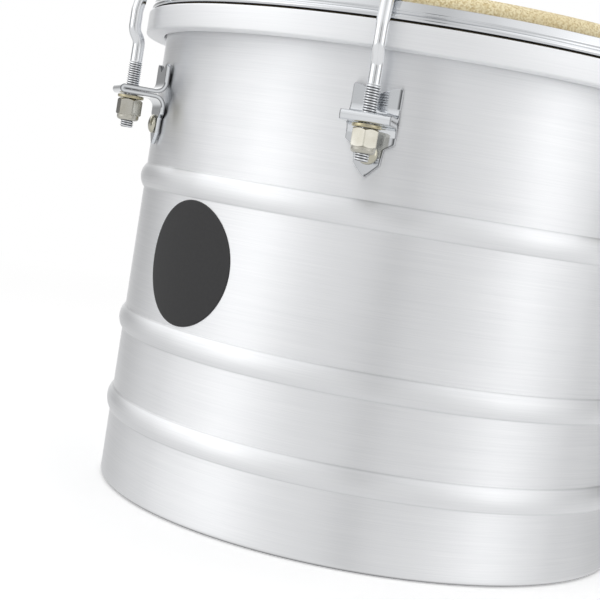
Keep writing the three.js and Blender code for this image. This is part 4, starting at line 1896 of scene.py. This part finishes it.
@dataclass
class Stick:
    """Bamboo cane with a round tip under the skin, a grooved neck and knots along its length."""

    layout: Layout
    length: float = 190.0
    radius: float = 3.3
    end_radius: float = 3.0
    end_round: float = 0.8
    end_hollow: tuple[Point, ...] = ((0.0, 0.35), (1.1, 0.3))
    taper: float = 25.0
    knot_spacing: float = 62.0
    knot_rise: float = 0.45
    knot_reach: float = 2.2
    groove_depth: float = 0.18
    groove_above: float = 1.4
    groove_reach: float = 0.35
    neck: float = 2.2
    neck_length: float = 8.4
    shoulder: float = 1.6
    straight_span: tuple[float, float] = (1.2, 2.2)
    tip: float = 3.1
    bump_rise: float = 1.6
    segments: int = 48

    @property
    def tip_centre(self) -> float:
        """Height of the middle of the stick's round tip, its pivot."""
        at = self.layout
        return at.skin_height + self.bump_rise - at.skin_thickness / 2 - at.gap - self.tip

    def profile(self) -> np.ndarray:
        """Reach and height from the lower end to the tip.

        The cane's radius grows evenly from its end over the taper, plus a bell, rise times
        exp(-(z / reach)^2), at each knot and less a finer one above it.

        Returns:
            Array of reach and height.
        """
        centre = self.tip_centre
        bottom = centre + self.tip - self.length
        neck_top = centre - math.sqrt(self.tip**2 - self.neck**2)
        neck_bottom = neck_top - self.neck_length
        low, high = self.straight_span
        z = np.linspace(bottom + low, neck_bottom - high, 260)
        knots = np.arange(bottom + self.knot_spacing, neck_bottom, self.knot_spacing)[:, None]
        above = z - knots - self.groove_above
        rise = self.knot_rise * np.exp(-(((z - knots) / (self.knot_reach * 0.5)) ** 2)).sum(0)
        groove = self.groove_depth * np.exp(-((above / self.groove_reach) ** 2)).sum(0)
        share = np.clip((z - bottom) / self.taper, 0, 1)
        reach = self.end_radius + share * (self.radius - self.end_radius) + rise - groove
        start = math.degrees(math.asin((neck_top - centre) / self.tip))
        ball = arc((0, centre), self.tip, start, 90, 16)
        ball[-1, 0] = 0
        flat, turned = self.end_radius - self.end_round, self.end_round
        return np.concatenate(
            [
                [(x, bottom + up) for x, up in self.end_hollow],
                [(flat, bottom)],
                arc((flat, bottom + turned), turned, -80, 0, 5),
                np.column_stack([reach, z]),
                line((self.radius, neck_bottom - self.shoulder), (self.neck, neck_bottom), 8)[1:],
                line((self.neck, neck_bottom), (self.neck, neck_top), 8),
                ball,
            ]
        )

    def build(self, shop: Workshop) -> None:
        """Makes the stick."""
        surface = spindle(self.profile(), self.segments)
        shop.fine("friction_stick", surface, BAMBOO, "stick", sharp=50)


@dataclass
class Lashing:
    """One waxed cord of three strands, wound round the stick's neck."""

    stick: Stick
    cord: float = 1.0
    pitch: float = 1.45
    turns: int = 4
    play: float = 0.75
    strands: int = 3
    strand_depth: float = 0.14
    twist_pitch: float = 2.4
    tuck: float = 0.6
    tuck_least: float = 0.02
    steps: int = 96
    sides: int = 24

    def surface(self) -> Surface:
        """Cord along a helix, with a section of three lobes that turns as it goes.

        The middle is (R cos u, R sin u, top - pitch u / one turn). The section's radius at angle a
        is r (1 - depth + depth |cos(1.5 (a - twist))|), and it tapers to a rounded tuck at both
        ends.

        Returns:
            The closed surface.
        """
        radius = self.stick.neck + self.play + self.cord / 2
        top = self.stick.tip_centre - self.stick.tip / 2
        count = self.turns * self.steps + 1
        u = np.linspace(0, self.turns * 2 * np.pi, count)[:, None]
        rise = -self.pitch / FULL_TURN
        speed = math.hypot(radius, rise)
        cos, sin = np.cos(u), np.sin(u)
        centre = np.column_stack([radius * cos, radius * sin, top + rise * u])
        out = np.column_stack([cos, sin, np.zeros(count)])
        along = np.column_stack([-radius * sin, radius * cos, np.full(count, rise)]) / speed
        a = angles(self.sides)[None, :]
        length = u * speed
        twist = FULL_TURN * length / self.twist_pitch
        lobes = np.abs(np.cos(self.strands / 2 * (a - twist)))
        nearest = np.minimum(length, length[-1, 0] - length)
        ends = np.sqrt(np.clip(nearest / self.tuck, self.tuck_least, 1))
        r = self.cord / 2 * (1 - self.strand_depth + self.strand_depth * lobes) * ends
        over = (r * np.cos(a))[..., None] * out[:, None]
        aside = (r * np.sin(a))[..., None] * np.cross(along, out)[:, None]
        points = (centre[:, None] + over + aside).reshape(-1, 3)
        return capped(points, self.sides, centre[[0, -1]])

    def build(self, shop: Workshop) -> None:
        """Makes the lashing."""
        shop.fine("stick_lashing", self.surface(), WAXED_CORD, "lashing", sharp=60)


# ---------------------------------------------------------------- studio


@dataclass(frozen=True)
class Lamp:
    """One soft square light, in metres and watts."""

    name: str
    place: tuple[float, float, float]
    target: tuple[float, float, float]
    size: float
    power: float


@dataclass
class Studio:
    """Camera of the photograph, soft lamps, pale floor and white surroundings.

    The rounds give the level of what a surface reflects at each azimuth in degrees: level with it,
    high over it and below it. The bars are narrow darker strips: azimuth, half width and shade.
    """

    azimuth: float = 7.9
    distance: float = 654.9
    height: float = 151.9
    yaw: float = 0.064546
    pitch: float = 0.087765
    roll: float = 0.164376
    focal: float = 1345.105
    image: float = 600.0
    sensor: float = 36.0
    clip: tuple[float, float] = (0.01, 100.0)
    lamps: tuple[Lamp, ...] = (
        Lamp("key", (-1.15, -1.15, 1.0), (0.0, 0.0, 0.1), 1.3, 9.0),
        Lamp("fill", (1.35, -0.95, 0.8), (0.0, 0.0, 0.1), 1.3, 6.0),
        Lamp("top", (0.1, 0.3, 1.7), (0.0, 0.0, 0.2), 1.2, 8.0),
    )
    level_round: Stops = (
        (-180, 1.4), (-164, 1.2), (-151, 0.4), (-140, 0.1), (-130, 0.12), (-120, 0.28),
        (-110, 0.54), (-99, 0.84), (-88, 1.04), (-77, 1.36), (-66, 1.95), (-56, 2.0), (-45, 1.4),
        (-33, 0.8), (-22, 0.75), (-11, 0.78), (0, 0.6), (11, 0.75), (22, 0.66), (33, 0.8),
        (45, 1.36), (56, 1.95), (67, 1.45), (77, 0.85), (95, 0.55), (115, 0.3), (130, 0.1),
        (180, 0.1),
    )
    high_round: Stops = (
        (-180, 0.9), (-160, 1.2), (-140, 1.5), (-120, 1.6), (-100, 1.5), (-76, 1.3), (-40, 1.1),
        (-20, 0.9), (0, 0.72), (20, 0.9), (40, 1.1), (72, 1.4), (100, 1.1), (140, 0.5), (180, 0.4),
    )
    below_round: Stops = (
        (-180, 0.88), (-160, 0.84), (-140, 0.7), (-115, 0.72), (-80, 0.86), (-12, 0.86), (0, 0.8),
        (12, 0.86), (180, 0.86),
    )
    overhead: float = 0.48
    high_rise: tuple[float, float] = (0.04, 0.5)
    low_rise: tuple[float, float] = (-0.15, 0.1)
    overhead_rise: tuple[float, float] = (0.96, 0.995)
    bars: tuple[tuple[float, float, float], ...] = (
        (0.0, 4.0, 0.1), (-101.0, 2.0, 0.05), (95.0, 3.0, 0.05),
    )
    bar_fade: float = 0.8
    brightest: float = 2.0
    plain: float = 0.5
    floor_size: float = 12.0
    floor_colour: Colour = (0.93, 0.93, 0.93)
    floor_lift: float = 0.24
    shadow_start: float = 0.35
    shadow_end: float = 1.1

    def camera(self) -> None:
        """Places the camera by its turn about the drum, distance, height and three small angles."""
        angle = np.array([self.yaw, self.pitch, self.roll])
        (cy, cp, cr), (sy, sp, sr) = np.cos(angle), np.sin(angle)
        yaw = np.array([[cy, sy, 0], [-sy, cy, 0], [0, 0, 1]])
        base = np.array([[1, 0, 0], [0, 0, -1], [0, 1, 0]])
        pitch = np.array([[1, 0, 0], [0, cp, -sp], [0, sp, cp]])
        roll = np.array([[cr, -sr, 0], [sr, cr, 0], [0, 0, 1]])
        right, down, ahead = roll @ pitch @ base @ yaw
        turn = Matrix.Rotation(math.radians(self.azimuth), 4, "Z")
        place = np.array([0, -self.distance, self.height]) * MM
        matrix = np.eye(4)
        matrix[:3] = np.column_stack([right, -down, -ahead, place])
        data = bpy.data.cameras.new("camera")
        data.sensor_width = self.sensor
        data.lens = self.focal / self.image * self.sensor
        data.clip_start, data.clip_end = self.clip
        camera = bpy.data.objects.new("camera", data)
        bpy.context.scene.collection.objects.link(camera)
        camera.matrix_world = turn @ Matrix(matrix.tolist())
        bpy.context.scene.camera = camera

    def lights(self) -> None:
        """Hangs the lamps, hidden from the camera itself."""
        for lamp in self.lamps:
            data = bpy.data.lights.new(lamp.name, "AREA")
            data.shape, data.size, data.energy = "SQUARE", lamp.size, lamp.power
            light = bpy.data.objects.new(lamp.name, data)
            bpy.context.scene.collection.objects.link(light)
            aim = Vector(lamp.target) - Vector(lamp.place)
            light.matrix_world = Matrix.LocRotScale(lamp.place, aim.to_track_quat("-Z", "Y"), None)
            light.visible_camera = light.visible_glossy = False

    def reflected(self, nodes: Nodes) -> bpy.types.NodeSocket:
        """Level of the surroundings in a direction, for reflections alone.

        The three rounds mix by smooth steps of the direction's rise, from below to high, under one
        level overhead, and each bar darkens the round that is level with the drum.

        Args:
            nodes: The world's nodes.

        Returns:
            The level.
        """
        way = nodes.add("SeparateXYZ", {0: nodes.add("TexCoord").outputs["Generated"]})
        turn = nodes.math("ARCTAN2", way.outputs[0], nodes.math("MULTIPLY", way.outputs[1], -1.0))
        shifted = nodes.math("SUBTRACT", turn, math.radians(self.azimuth))
        degrees = nodes.math("DEGREES", nodes.math("WRAP", shifted, math.pi, -math.pi))
        place = nodes.ranged(degrees, -180.0, 180.0)
        rounds = []
        for stops in (self.level_round, self.high_round, self.below_round):
            shares = tuple(((a + 180) / 360, level / self.brightest) for a, level in stops)
            rounds.append(nodes.math("MULTIPLY", nodes.ramp(place, shares), self.brightest))
        level, high, below = rounds
        for middle, half, shade in self.bars:
            aside = nodes.math("ABSOLUTE", nodes.math("SUBTRACT", degrees, middle))
            clear = nodes.ranged(aside, half - self.bar_fade, half + self.bar_fade, smooth=True)
            level = nodes.math("MULTIPLY", level, nodes.blended(clear, shade, 1.0))
        rise = way.outputs[2]
        level = nodes.blended(nodes.ranged(rise, *self.high_rise, smooth=True), level, high)
        level = nodes.blended(nodes.ranged(rise, *self.low_rise, smooth=True), below, level)
        share = nodes.ranged(rise, *self.overhead_rise, smooth=True)
        return nodes.blended(share, level, self.overhead)

    def world(self) -> None:
        """White for the camera, bright and dim quarters for reflections, plain grey for light."""
        world = bpy.data.worlds.new("studio")
        world.use_nodes = True
        bpy.context.scene.world = world
        tree = world.node_tree
        tree.nodes.clear()
        nodes = Nodes(tree)
        path = nodes.add("LightPath").outputs
        white, mirror, plain = (
            nodes.add("Background", {"Color": (1, 1, 1, 1), "Strength": strength}).outputs[0]
            for strength in (1.0, self.reflected(nodes), self.plain)
        )
        shiny = nodes.math("MAXIMUM", path["Is Glossy Ray"], path["Is Transmission Ray"])
        lit = nodes.add("MixShader", {0: shiny, 1: plain, 2: mirror}).outputs[0]
        seen = nodes.add("MixShader", {0: path["Is Camera Ray"], 1: lit, 2: white})
        nodes.add("OutputWorld", {"Surface": seen.outputs[0]})

    def floor(self) -> None:
        """Pale floor that keeps the drum's soft shadow, fades to white and is clear from below."""
        material = bpy.data.materials.new("floor")
        material.use_nodes = True
        material.node_tree.nodes.clear()
        nodes = Nodes(material.node_tree)
        distance = nodes.add("VectorMath", {0: nodes.where()}, operation="LENGTH").outputs["Value"]
        fade = nodes.ranged(distance, self.shadow_start, self.shadow_end, smooth=True)
        camera = nodes.add("LightPath").outputs["Is Camera Ray"]
        matt = nodes.add("BsdfDiffuse", {"Color": (*self.floor_colour, 1)})
        lift, glow = (
            nodes.add("Emission", {"Color": (1, 1, 1, 1), "Strength": strength})
            for strength in (self.floor_lift, 1.0)
        )
        near = nodes.add("AddShader", {0: matt.outputs[0], 1: lift.outputs[0]})
        far = nodes.math("MULTIPLY", fade, camera)
        mix = nodes.add("MixShader", {0: far, 1: near.outputs[0], 2: glow.outputs[0]})
        back = nodes.add("NewGeometry").outputs["Backfacing"]
        under = nodes.math("MULTIPLY", back, camera)
        clear = nodes.add("BsdfTransparent")
        seen = nodes.add("MixShader", {0: under, 1: mix.outputs[0], 2: clear.outputs[0]})
        nodes.add("OutputMaterial", {"Surface": seen.outputs[0]})
        half = self.floor_size / 2
        mesh = bpy.data.meshes.new("floor")
        corners = [(-half, -half, 0), (half, -half, 0), (half, half, 0), (-half, half, 0)]
        mesh.from_pydata(corners, [], [(0, 1, 2, 3)])
        mesh.materials.append(material)
        ground = bpy.data.objects.new("floor", mesh)
        bpy.context.scene.collection.objects.link(ground)
        ground.visible_glossy = False

    def build(self) -> None:
        """Sets up the whole studio and the plain view transform."""
        self.camera()
        self.lights()
        self.world()
        self.floor()
        bpy.context.scene.view_settings.view_transform = "Standard"


def main() -> None:
    """Builds every sub-assembly in order."""
    logging.basicConfig(level=logging.INFO, format="%(name)s %(message)s")
    layout, shop = Layout(), Workshop()
    Studio().build()
    for part in (Shell, HeadRing, Counterhoop, Head, Roundel):
        part(layout).build(shop)
    for number in range(1, layout.station_count + 1):
        for fitting in (Bracket, Hook, Washer, LockNut, Rivet):
            fitting(layout).build(shop, number)
    stick = Stick(layout)
    stick.build(shop)
    Lashing(stick).build(shop)


if __name__ == "__main__":
    main()
